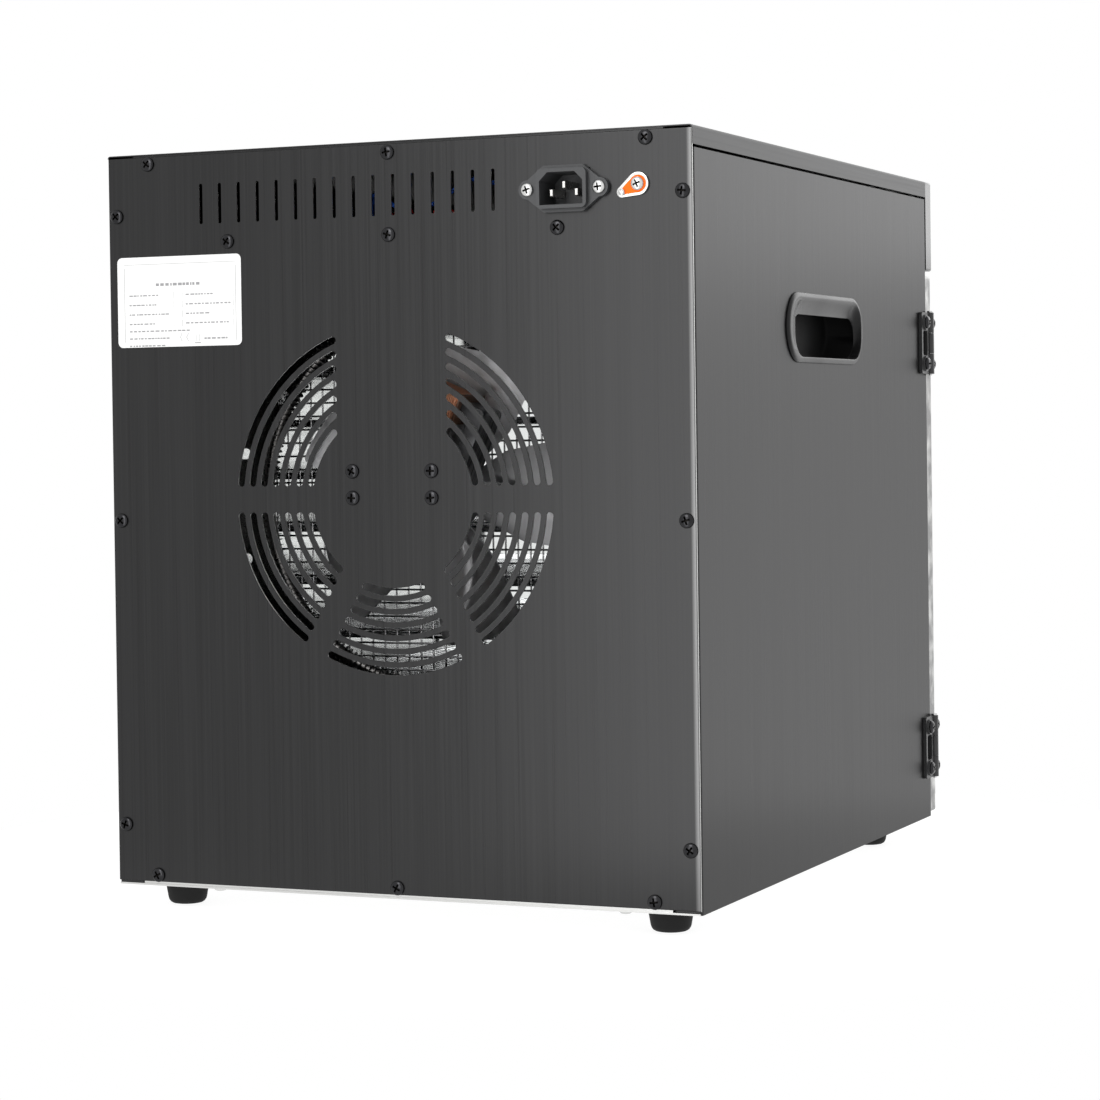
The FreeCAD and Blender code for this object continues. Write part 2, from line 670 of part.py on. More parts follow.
def make_liner_ceiling():
    """Chamber ceiling with an upstand that takes the upper rear screws."""
    half = LINER_X + SHEET
    plate = block(-half, half, FRONT + PANEL_SHEET, PANEL_BACK, CHAMBER_HIGH, CHAMBER_HIGH + SHEET)
    upstand = block(-half, half, PANEL_BACK - SHEET, PANEL_BACK, CHAMBER_HIGH, CHAMBER_HIGH + 26)
    lead_holes = [
        rod(Vector(x, HEATER_Y, CHAMBER_HIGH - 5), Vector(x, HEATER_Y, CHAMBER_HIGH + 5), HEATER_TUBE_RADIUS + 1.5)
        for x in (-HEATER_LEAD_X, HEATER_LEAD_X)
    ]
    return joined([plate, upstand]).cut(lead_holes + holes_along_y(rear_screw_places()))


def make_chamber_floor():
    """Chamber floor with a shallow drip lip at its front edge."""
    half = LINER_X + SHEET
    y0 = FRONT + PANEL_SHEET
    plate = block(-half, half, y0, PANEL_BACK - 2, CHAMBER_LOW - SHEET, CHAMBER_LOW)
    skirt = block(-half, half, y0, y0 + SHEET, CHAMBER_LOW - 10, CHAMBER_LOW)
    return joined([plate, skirt])


def ledge_top(index):
    """Height that a tray rests at."""
    return TRAY_FIRST_Z + index * TRAY_PITCH


def make_tray_rack():
    """Left rack: two uprights and ten ledges welded to them."""
    x0 = -LINER_X + 0.1
    x1 = x0 + UPRIGHT_THICKNESS
    pieces = []
    for y in (TRAY_FRONT + 40, TRAY_BACK - 40):
        pieces.append(block(x0, x1, y - 8, y + 8, CHAMBER_LOW, ledge_top(TRAY_COUNT - 1) + 14))
    for index in range(TRAY_COUNT):
        z = ledge_top(index) - FIT_GAP
        pieces.append(block(x1, x1 + LEDGE_REACH, TRAY_FRONT - 3, TRAY_BACK + 2, z - LEDGE_THICKNESS, z))
    return Part.makeCompound(pieces)


def make_tray():
    """Lowest tray: a rim, lengthwise wires and cross bars, welded together."""
    z0 = TRAY_FIRST_Z
    half = TRAY_HALF_WIDTH
    rim = rounded(block(-half, half, TRAY_FRONT, TRAY_BACK, z0, z0 + TRAY_RIM), Z_AXIS, 8)
    inside = block(
        -half + TRAY_RIM, half - TRAY_RIM, TRAY_FRONT + TRAY_RIM, TRAY_BACK - TRAY_RIM, z0 - 1, z0 + TRAY_RIM + 1
    )
    rim = rim.cut(rounded(inside, Z_AXIS, 4))
    wire_low = z0 + TRAY_RIM - TRAY_WIRE
    wires = []
    count = int((2 * half - 2 * TRAY_RIM) / TRAY_WIRE_PITCH)
    first = -(count - 1) * TRAY_WIRE_PITCH / 2
    for index in range(count):
        x = first + index * TRAY_WIRE_PITCH
        x0 = x - TRAY_WIRE / 2
        wires.append(block(x0, x0 + TRAY_WIRE, TRAY_FRONT + 2, TRAY_BACK - 2, wire_low, z0 + TRAY_RIM))
    spacing = (TRAY_BACK - TRAY_FRONT) / (TRAY_CROSS_BARS + 1)
    for index in range(TRAY_CROSS_BARS):
        y = TRAY_FRONT + spacing * (index + 1)
        wires.append(block(-half + 2, half - 2, y - 1.2, y + 1.2, z0 + 0.4, wire_low + 0.3))
    return joined([rim] + wires)


# ---------------------------------------------------------------- air and heat
def around_fan(shape, degrees):
    """Turn a shape about the fan's axis."""
    turned = shape.copy()
    turned.rotate(Vector(0, 0, FAN_Z), Y_AXIS, degrees)
    return turned


def make_fan_baffle():
    """Wall between chamber and fan, with a round intake, side outlets and heater posts."""
    half = LINER_X - FIT_GAP
    y0 = BAFFLE_BACK - SHEET
    wall = block(-half, half, y0, BAFFLE_BACK, CHAMBER_LOW + FIT_GAP, CHAMBER_HIGH - FIT_GAP)
    cutters = [rod(Vector(0, y0 - 1, FAN_Z), Vector(0, BAFFLE_BACK + 1, FAN_Z), BAFFLE_HOLE_RADIUS)]
    for index in range(TRAY_COUNT - 1):
        z = ledge_top(index) + TRAY_PITCH / 2
        for side in (-1, 1):
            x0, x1 = sorted(side * x for x in OUTLET_X)
            cutters.append(rounded(block(x0, x1, y0 - 1, BAFFLE_BACK + 1, z - 3, z + 3), Y_AXIS, 2.9))
    post_z = FAN_Z + HEATER_RADIUS + HEATER_FIN_RADIUS
    post = block(-4, 4, BAFFLE_BACK, HEATER_Y + 3, post_z, post_z + 1.5)
    foot = block(-4, 4, BAFFLE_BACK, BAFFLE_BACK + 1.5, post_z, post_z + 10)
    posts = [around_fan(shape, angle) for shape in (post, foot) for angle in (60, 180, 300)]
    return joined([wall.cut(cutters)] + posts)


def make_fan_guard():
    """Square grid of wires welded to a ring of arcs, on the chamber side of the intake."""
    y1 = BAFFLE_BACK - SHEET
    y0 = y1 - 2 * GUARD_WIRE
    outer = BAFFLE_HOLE_RADIUS + 6
    inner = BAFFLE_HOLE_RADIUS + 2
    step = 360 / GUARD_ARCS
    foot = Vector(0, y0, FAN_Z)
    height = y1 - y0
    arc = Part.makeCylinder(outer, height, foot, Y_AXIS, step).cut(Part.makeCylinder(inner, height, foot, Y_AXIS, 360))
    ring = [around_fan(arc, index * step) for index in range(GUARD_ARCS)]
    disc = rod(foot, Vector(0, y1, FAN_Z), inner)
    middle = (y0 + y1) / 2
    half = GUARD_WIRE / 2
    wires = []
    for index in range(-7, 8):
        offset = index * GUARD_PITCH
        upright = block(offset - half, offset + half, y0, middle, FAN_Z - inner, FAN_Z + inner)
        level = block(-inner, inner, middle, y1, FAN_Z + offset - half, FAN_Z + offset + half)
        wires += [upright.common(disc), level.common(disc)]
    return Part.makeCompound(ring + wires)


def fan_blade():
    """One curved, pitched blade pointing along +X."""
    root = HUB_RADIUS - 4
    tip = FAN_RADIUS + 6
    shoulder, shoulder_half = BLADE_SHOULDER
    shell = Part.makeCylinder(BLADE_CURVE + BLADE_THICKNESS / 2, tip - root, Vector(root, BLADE_CURVE, 0), X_AXIS)
    hollow = Part.makeCylinder(BLADE_CURVE - BLADE_THICKNESS / 2, tip - root, Vector(root, BLADE_CURVE, 0), X_AXIS)
    upper = [(root, BLADE_ROOT_HALF), (shoulder, shoulder_half), (tip, BLADE_TIP_HALF)]
    outline = [Vector(x, -10, -z) for x, z in upper] + [Vector(x, -10, z) for x, z in reversed(upper)]
    planform = Part.Face(Part.makePolygon(outline + outline[:1])).extrude(Y_AXIS * 20)
    planform = planform.common(Part.makeCylinder(FAN_RADIUS, 20, Vector(0, -10, 0), Y_AXIS))
    corners = [edge for edge in planform.Edges if runs_along(edge, Y_AXIS) and edge.BoundBox.XMin > shoulder + 1]
    planform = planform.makeFillet(BLADE_CORNER, corners)
    blade = shell.cut(hollow).common(planform)
    blade.rotate(Vector(0, 0, 0), X_AXIS, BLADE_PITCH_DEG)
    blade.translate(Vector(0, BLADE_Y, FAN_Z))
    return blade


def make_fan_impeller():
    """Five-blade pressed fan on a hub that is pressed on the shaft."""
    hub = rod(Vector(0, FAN_Y - 7, FAN_Z), Vector(0, FAN_Y + 7, FAN_Z), HUB_RADIUS)
    collar = rod(Vector(0, FAN_Y - 9, FAN_Z), Vector(0, FAN_Y + 11, FAN_Z), 9)
    turns = [BLADE_FIRST_DEG + index * 360 / FAN_BLADES for index in range(FAN_BLADES)]
    blades = [around_fan(fan_blade(), turn) for turn in turns]
    bore = rod(Vector(0, FAN_Y - 20, FAN_Z), Vector(0, FAN_Y + 20, FAN_Z), SHAFT_RADIUS)
    return joined([hub, collar] + blades).cut(bore)


def make_motor_shaft():
    """Steel shaft through both bearings."""
    return rod(Vector(0, FAN_Y - 11, FAN_Z), Vector(0, STATOR_BACK + 7, FAN_Z), SHAFT_RADIUS)


def make_rotor_core():
    """Rotor stack on the shaft."""
    core = rod(Vector(0, STATOR_FRONT + 1, FAN_Z), Vector(0, STATOR_BACK - 1, FAN_Z), ROTOR_RADIUS)
    return core.cut(rod(Vector(0, STATOR_FRONT, FAN_Z), Vector(0, STATOR_BACK, FAN_Z), SHAFT_RADIUS))


def make_motor_stator():
    """Shaded-pole lamination stack: rotor block, two legs and the bar that carries the coil."""
    bar_high = FAN_Z + COIL_HIGH - COIL_WALL
    stack = rounded(block(-28, 28, STATOR_FRONT, STATOR_BACK, FAN_Z - 25, bar_high), Y_AXIS, 3)
    bar_low = FAN_Z + COIL_LOW + COIL_WALL
    window = block(-20, 20, STATOR_FRONT - 1, STATOR_BACK + 1, FAN_Z + 27, bar_low)
    bore = rod(Vector(0, STATOR_FRONT - 1, FAN_Z), Vector(0, STATOR_BACK + 1, FAN_Z), ROTOR_RADIUS + AIR_GAP)
    return around_fan(stack.cut([window, bore]), MOTOR_TILT_DEG)


def make_motor_coil():
    """Copper winding around the stator's upper bar."""
    y0 = STATOR_FRONT - COIL_WALL
    y1 = STATOR_BACK + COIL_WALL
    half = COIL_HALF_LENGTH
    coil = rounded(block(-half, half, y0, y1, FAN_Z + COIL_LOW, FAN_Z + COIL_HIGH), X_AXIS, COIL_WALL - 0.5)
    bar = block(
        -half - 1,
        half + 1,
        STATOR_FRONT - FIT_GAP,
        STATOR_BACK + FIT_GAP,
        FAN_Z + COIL_LOW + COIL_WALL - FIT_GAP,
        FAN_Z + COIL_HIGH - COIL_WALL + FIT_GAP,
    )
    return around_fan(coil.cut(bar), MOTOR_TILT_DEG)


def make_motor_bearings():
    """Front and rear bearing bridges with sleeve bearings."""
    bridges = []
    for face, sense in ((STATOR_FRONT, -1), (STATOR_BACK, 1)):
        y0, y1 = sorted((face, face + sense * 1.5))
        strip = rounded(block(-22, 22, y0, y1, FAN_Z - 7, FAN_Z + 7), Y_AXIS, 3)
        sleeve = rod(Vector(0, face, FAN_Z), Vector(0, face + sense * 6, FAN_Z), 6.5)
        bore = rod(Vector(0, face - 8, FAN_Z), Vector(0, face + 8, FAN_Z), SHAFT_RADIUS + SHAFT_CLEARANCE)
        bridges.append(around_fan(joined([strip, sleeve]).cut(bore), MOTOR_TILT_DEG))
    return Part.makeCompound(bridges)


def make_motor_bracket():
    """Plate screwed to the rear panel, with two arms that hold the stator."""
    z0 = BOTTOM + MOTOR_SCREW_HEIGHTS[0] - 8
    z1 = BOTTOM + MOTOR_SCREW_HEIGHTS[1] + 8
    plate = rounded(block(-31, 31, PANEL_BACK - 1.5, PANEL_BACK, z0, z1), Y_AXIS, 4)
    arms = [block(x, x + 1.5, STATOR_BACK, PANEL_BACK, z0 + 3, z1 - 3) for x in (-27, 25.5)]
    holes = holes_along_y(motor_screw_places())
    return joined([plate.cut(holes)] + arms)


def make_heating_element():
    """Finned heater ring around the fan, with two leads through the ceiling."""
    opening = math.degrees(math.asin(HEATER_LEAD_X / HEATER_RADIUS))
    ring = Part.makeTorus(
        HEATER_RADIUS, HEATER_FIN_RADIUS, Vector(0, HEATER_Y, FAN_Z), Y_AXIS, 0, 360, 360 - 2 * opening
    )
    middle = ring.CenterOfMass - Vector(0, HEATER_Y, FAN_Z)
    turn = math.degrees(math.atan2(-middle.x, -middle.z))
    ring.rotate(Vector(0, 0, FAN_Z), Y_AXIS, -turn)
    end_z = FAN_Z + math.sqrt(HEATER_RADIUS ** 2 - HEATER_LEAD_X ** 2)
    pieces = [ring]
    for x in (-HEATER_LEAD_X, HEATER_LEAD_X):
        pieces.append(Part.makeSphere(HEATER_FIN_RADIUS, Vector(x, HEATER_Y, end_z)))
        pieces.append(rod(Vector(x, HEATER_Y, end_z), Vector(x, HEATER_Y, CHAMBER_HIGH + 14), HEATER_TUBE_RADIUS))
    return pieces[0].fuse(pieces[1:])


def make_thermal_cutout():
    """Round thermal cut-out with two mounting ears, on top of the chamber."""
    z = CHAMBER_HIGH + SHEET
    can = Part.makeCylinder(8, 9, Vector(-60, 120, z))
    ears = rounded(block(-76, -44, 114, 126, z, z + 1), Z_AXIS, 4)
    return joined([can, ears])


# ---------------------------------------------------------------- controls
def make_control_fascia():
    """Hollow control panel above the door, with button holes and board posts."""
    shell = rounded(block(-SIDE, SIDE, FACE, FRONT, FASCIA_LOW, TOP), Y_AXIS, 1.5)
    front_edges = [edge for edge in shell.Edges if edge.BoundBox.YMax < FACE + 0.01]
    shell = shell.makeFillet(0.8, front_edges)
    hollow = block(
        -SIDE + FASCIA_WALL,
        SIDE - FASCIA_WALL,
        FACE + FASCIA_WALL,
        FRONT + 1,
        FASCIA_LOW + FASCIA_WALL,
        TOP - FASCIA_WALL,
    )
    width, height = DISPLAY_SIZE
    window = block(-width / 2, width / 2, FACE - 1, FACE + 3, CONTROL_Z - height / 2, CONTROL_Z + height / 2)
    holes = [
        rod(Vector(x, FACE - 1, CONTROL_Z), Vector(x, FACE + 3, CONTROL_Z), BUTTON_RADIUS + BUTTON_GAP)
        for x in BUTTONS.values()
    ]
    posts = [
        rod(Vector(x, FACE + FASCIA_WALL - 0.5, z), Vector(x, FACE + 7.9, z), 3)
        for x in (-130, 130)
        for z in (CONTROL_Z - 14, CONTROL_Z + 14)
    ]
    return joined([shell.cut([hollow, rounded(window, Y_AXIS, 2)] + holes)] + posts)


def make_display_window():
    """Smoked window with a retaining lip behind the fascia."""
    width, height = DISPLAY_SIZE
    x = width / 2 - FIT_GAP
    z = height / 2 - FIT_GAP
    pane = rounded(block(-x, x, FACE + 0.2, FACE + 2.4, CONTROL_Z - z, CONTROL_Z + z), Y_AXIS, 1.8)
    lip = block(-x - 2, x + 2, FACE + FASCIA_WALL, FACE + 3, CONTROL_Z - z - 2, CONTROL_Z + z + 2)
    return joined([pane, lip])


def make_control_board():
    """Circuit board with a display module, four push switches and a relay."""
    y0 = FACE + 7.9
    board = block(-134, 134, y0, y0 + 1.6, CONTROL_Z - 19, CONTROL_Z + 19)
    parts = [block(-44, 44, FACE + 3.2, y0, CONTROL_Z - 13, CONTROL_Z + 13)]
    parts += [block(x - 3, x + 3, y0 - 3.5, y0, CONTROL_Z - 3, CONTROL_Z + 3) for x in BUTTONS.values()]
    return joined([board] + parts)


def make_button(x):
    """Round push button, held behind the fascia by a flange."""
    front = FACE - BUTTON_PROUD
    cap = rod(Vector(x, front, CONTROL_Z), Vector(x, FACE + 2.4, CONTROL_Z), BUTTON_RADIUS)
    rim = [edge for edge in cap.Edges if edge.BoundBox.YMax < front + 0.01]
    cap = cap.makeFillet(0.8, rim)
    flange = rod(Vector(x, FACE + 2.2, CONTROL_Z), Vector(x, FACE + 2.9, CONTROL_Z), BUTTON_RADIUS + 1.3)
    return joined([cap, flange])


# ---------------------------------------------------------------- door
def door_ring(inset_outer, inset_inner, y0, y1):
    """Rectangular ring, inset from the door's outline."""
    def sheet(inset, low, high):
        x = DOOR_HALF_WIDTH - inset
        return block(-x, x, low, high, DOOR_LOW + inset, DOOR_HIGH - inset)

    return sheet(inset_outer, y0, y1).cut(sheet(inset_inner, y0 - 1, y1 + 1))


def make_door_frame():
    """Steel door frame with a rebate for the glass, open towards the chamber."""
    frame = block(-DOOR_HALF_WIDTH, DOOR_HALF_WIDTH, FACE, DOOR_BACK, DOOR_LOW, DOOR_HIGH)
    frame = rounded(frame, Y_AXIS, 1.5)
    front_edges = [edge for edge in frame.Edges if edge.BoundBox.YMax < FACE + 0.01]
    frame = frame.makeFillet(1.0, front_edges)
    x = DOOR_HALF_WIDTH - DOOR_BORDER
    opening = block(-x, x, FACE - 1, DOOR_BACK + 1, DOOR_LOW + DOOR_BORDER, DOOR_HIGH - DOOR_BORDER)
    lap = GLASS_LAP + 0.3
    rebate = block(
        -x - lap, x + lap, FACE + DOOR_SKIN, DOOR_BACK + 1, DOOR_LOW + DOOR_BORDER - lap, DOOR_HIGH - DOOR_BORDER + lap
    )
    magnets = [block(150, 164, DOOR_BACK - 3, DOOR_BACK + 1, z - 12.2, z + 12.2) for z in magnet_heights()]
    holes = []
    for z in pull_ends():
        holes.append(rod(Vector(PULL_X, FACE - 1, z), Vector(PULL_X, DOOR_BACK + 1, z), SCREW_RADIUS + 0.1))
        holes.append(rod(Vector(PULL_X, DOOR_BACK - 3, z), Vector(PULL_X, DOOR_BACK + 1, z), SCREW_HEAD_RADIUS + 0.4))
    holes += [rod(place - X_AXIS, place + X_AXIS * 8, SCREW_RADIUS + 0.1) for place in door_hinge_screw_places()]
    return frame.cut([rounded(opening, Y_AXIS, 3), rebate] + magnets + holes)


def make_door_glass():
    """Tempered pane in the rebate."""
    inset = DOOR_BORDER - GLASS_LAP
    x = DOOR_HALF_WIDTH - inset
    y0 = FACE + DOOR_SKIN
    return block(-x, x, y0, y0 + GLASS_THICKNESS, DOOR_LOW + inset, DOOR_HIGH - inset)


def make_door_seal():
    """Silicone ring that holds the glass and meets the front frame."""
    y0 = FACE + DOOR_SKIN + GLASS_THICKNESS
    return door_ring(DOOR_BORDER - GLASS_LAP, DOOR_BORDER + 3, y0, FRONT - 0.3)


def pull_ends():
    """Heights of the door handle's two posts."""
    half = PULL_LENGTH / 2 - 9
    return [BOTTOM + PULL_HEIGHT - half, BOTTOM + PULL_HEIGHT + half]


def magnet_heights():
    """Heights of the two catch magnets."""
    return [DOOR_LOW + 40, DOOR_HIGH - 40]


def make_door_handle():
    """Bar handle on two posts."""
    half = PULL_LENGTH / 2
    z = BOTTOM + PULL_HEIGHT
    y0 = FACE - HANDLE_REACH
    bar = rounded(block(PULL_X - 7, PULL_X + 7, y0, y0 + PULL_BAR, z - half, z + half), Z_AXIS, 3.5)
    posts = [rounded(block(PULL_X - 5, PULL_X + 5, y0 + 3, FACE, end - 6, end + 6), Y_AXIS, 3) for end in pull_ends()]
    holes = [rod(Vector(PULL_X, FACE - 8, end), Vector(PULL_X, FACE + 1, end), SCREW_RADIUS) for end in pull_ends()]
    return joined([bar] + posts).cut(holes)


def make_door_magnets():
    """Two catch magnets in the door frame's inner face."""
    magnets = [block(150.2, 163.8, DOOR_BACK - 3, DOOR_BACK, z - 12, z + 12) for z in magnet_heights()]
    return Part.makeCompound(magnets)


def make_door_screws():
    """Handle screws in counterbores and the screws of the door's hinge leaves."""
    screws = [pan_screw(Vector(PULL_X, DOOR_BACK - 3, z), Y_AXIS, 15) for z in pull_ends()]
    leaf = X_AXIS * LEAF_THICKNESS
    screws += [pan_screw(place - leaf, X_AXIS * -1, 8) for place in door_hinge_screw_places()]
    return Part.makeCompound(screws)


# ---------------------------------------------------------------- hinges
def door_hinge_screw_places():
    """Places on the door's hinge-side edge of the leaf screws."""
    y = FACE + 4.4
    offset = HINGE_TALL / 3
    return [Vector(-DOOR_HALF_WIDTH, y, BOTTOM + z + up) for z in HINGE_HEIGHTS for up in (-offset, offset)]


def knuckle(z0, z1):
    """Hinge barrel segment around the pin."""
    return rod(Vector(HINGE_X, HINGE_Y, z0), Vector(HINGE_X, HINGE_Y, z1), KNUCKLE_RADIUS)


def pin_bore(z0, z1):
    """Cutter for the pin, with running clearance."""
    radius = PIN_RADIUS + SHAFT_CLEARANCE
    return rod(Vector(HINGE_X, HINGE_Y, z0 - 1), Vector(HINGE_X, HINGE_Y, z1 + 1), radius)


def hinge_bands(height):
    """Lower, middle and upper thirds of a hinge, with running gaps between them."""
    third = HINGE_TALL / 3
    lows = [BOTTOM + height - HINGE_TALL / 2 + index * third for index in range(3)]
    gap = KNUCKLE_GAP / 2
    return [(low + gap, low + third - gap) for low in lows]


def make_body_hinge_leaves():
    """Leaves on the side panel: a plate with a window, two screw bosses and the outer knuckles."""
    leaves = []
    for height in HINGE_HEIGHTS:
        bands = hinge_bands(height)
        low = bands[0][0]
        high = bands[2][1]
        plate = block(HINGE_X, -SIDE, HINGE_Y + 3.5, LEAF_BACK, low, high)
        plate = rounded(plate, X_AXIS, 2)
        window = block(HINGE_X - 1, -SIDE + 1, HINGE_Y + 6, LEAF_BACK - 2.5, low + 11.5, high - 11.5)
        plate = plate.cut(rounded(window, X_AXIS, 2))
        pieces = [plate]
        for z0, z1 in (bands[0], bands[2]):
            pieces.append(knuckle(z0, z1))
            pieces.append(block(HINGE_X, -SIDE, HINGE_Y, HINGE_Y + 6, z0, z1))
        places = [place for place in body_hinge_screw_places() if low < place.z < high]
        for place in places:
            pieces.append(rod(place, place - X_AXIS * (LEAF_THICKNESS + 1.2), HINGE_BOSS_RADIUS))
        leaf = joined(pieces).cut([pin_bore(low, high)] + [
            rod(place + X_AXIS, place - X_AXIS * 5, SCREW_RADIUS + 0.1) for place in places
        ])
        leaves.append(leaf)
    return Part.makeCompound(leaves)


def make_door_hinge_leaves():
    """Leaves on the door's edge with the middle knuckles."""
    leaves = []
    for height in HINGE_HEIGHTS:
        bands = hinge_bands(height)
        low = bands[0][0]
        high = bands[2][1]
        x0 = -DOOR_HALF_WIDTH - LEAF_THICKNESS
        plate = rounded(block(x0, -DOOR_HALF_WIDTH, FACE + 0.2, HINGE_Y - 3.5, low, high), X_AXIS, 2)
        z0, z1 = bands[1]
        arm = block(x0, -DOOR_HALF_WIDTH, HINGE_Y - 6, HINGE_Y, z0, z1)
        places = [place for place in door_hinge_screw_places() if low < place.z < high]
        cutters = [pin_bore(low, high)]
        cutters += [rod(place + X_AXIS, place - X_AXIS * 5, SCREW_RADIUS + 0.1) for place in places]
        leaves.append(joined([plate, arm, knuckle(z0, z1)]).cut(cutters))
    return Part.makeCompound(leaves)


def make_hinge_pins():
    """Two pins with small heads."""
    pins = []
    for height in HINGE_HEIGHTS:
        z0 = BOTTOM + height - HINGE_TALL / 2
        z1 = z0 + HINGE_TALL
        pin = rod(Vector(HINGE_X, HINGE_Y, z0 - 0.8), Vector(HINGE_X, HINGE_Y, z1), PIN_RADIUS)
        head = rod(Vector(HINGE_X, HINGE_Y, z1), Vector(HINGE_X, HINGE_Y, z1 + 1), PIN_RADIUS + 0.8)
        pins.append(joined([pin, head]))
    return Part.makeCompound(pins)


# ---------------------------------------------------------------- output
def all_parts():
    """Every piece by node name."""
    parts = {
        "rear_panel": make_rear_panel(),
        "top_cover": make_top_cover(),
        "left_side_panel": make_left_side_panel(),
        "right_side_panel": mirrored(make_side_panel()),
        "base_plate": make_base_plate(),
        "front_frame": make_front_frame(),
        "black_screws": make_black_screws(),
        "bright_screws": make_bright_screws(),
        "rubber_feet": make_rubber_feet(),
        "rating_label": make_rating_label(),
        "left_handle": make_left_handle(),
        "right_handle": mirrored(make_left_handle()),
        "power_inlet": make_power_inlet(),
        "inlet_pins": make_inlet_pins(),
        "earth_lug": make_earth_lug(),
        "blue_wires": make_blue_wires(),
        "red_wires": make_red_wires(),
        "liner_left_wall": make_liner_wall(),
        "liner_right_wall": mirrored(make_liner_wall()),
        "liner_ceiling": make_liner_ceiling(),
        "chamber_floor": make_chamber_floor(),
        "left_tray_rack": make_tray_rack(),
        "right_tray_rack": mirrored(make_tray_rack()),
        "fan_baffle": make_fan_baffle(),
        "fan_guard": make_fan_guard(),
        "fan_impeller": make_fan_impeller(),
        "motor_shaft": make_motor_shaft(),
        "rotor_core": make_rotor_core(),
        "motor_stator": make_motor_stator(),
        "motor_coil": make_motor_coil(),
        "motor_bearings": make_motor_bearings(),
        "motor_bracket": make_motor_bracket(),
        "heating_element": make_heating_element(),
        "thermal_cutout": make_thermal_cutout(),
        "control_fascia": make_control_fascia(),
        "display_window": make_display_window(),
        "control_board": make_control_board(),
        "door_frame": make_door_frame(),
        "door_glass": make_door_glass(),
        "door_seal": make_door_seal(),
        "door_handle": make_door_handle(),
        "door_magnets": make_door_magnets(),
        "door_screws": make_door_screws(),
        "body_hinge_leaves": make_body_hinge_leaves(),
        "door_hinge_leaves": make_door_hinge_leaves(),
        "hinge_pins": make_hinge_pins(),
    }
    for name, x in BUTTONS.items():
        parts[name] = make_button(x)
    lowest = make_tray()
    for index in range(TRAY_COUNT):
        tray = lowest.copy()
        tray.translate(Z_AXIS * (index * TRAY_PITCH))
        parts[f"tray_{index + 1:02d}"] = tray
    return parts


def save_parts():
    """Write one STEP file per piece."""
    os.makedirs("parts", exist_ok=True)
    for name, shape in all_parts().items():
        shape.exportStep(f"parts/{name}.step")


save_parts()
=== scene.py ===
import math
import random

import bpy
from mathutils import Matrix, Vector


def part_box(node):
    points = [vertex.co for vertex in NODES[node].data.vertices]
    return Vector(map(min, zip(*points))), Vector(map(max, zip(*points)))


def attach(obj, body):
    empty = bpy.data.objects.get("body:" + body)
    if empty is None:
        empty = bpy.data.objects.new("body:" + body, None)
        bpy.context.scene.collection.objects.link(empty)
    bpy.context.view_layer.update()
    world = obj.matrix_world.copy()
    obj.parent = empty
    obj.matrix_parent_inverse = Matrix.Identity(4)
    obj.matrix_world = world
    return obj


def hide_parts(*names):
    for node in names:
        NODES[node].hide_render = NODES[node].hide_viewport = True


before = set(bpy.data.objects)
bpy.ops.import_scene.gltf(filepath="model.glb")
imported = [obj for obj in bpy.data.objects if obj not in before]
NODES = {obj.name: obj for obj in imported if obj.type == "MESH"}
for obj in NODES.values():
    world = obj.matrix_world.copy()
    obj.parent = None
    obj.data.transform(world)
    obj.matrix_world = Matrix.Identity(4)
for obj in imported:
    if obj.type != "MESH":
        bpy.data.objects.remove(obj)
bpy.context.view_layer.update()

MM = 0.001
Y_AXIS = Vector((0, 1, 0))
Z_AXIS = Vector((0, 0, 1))


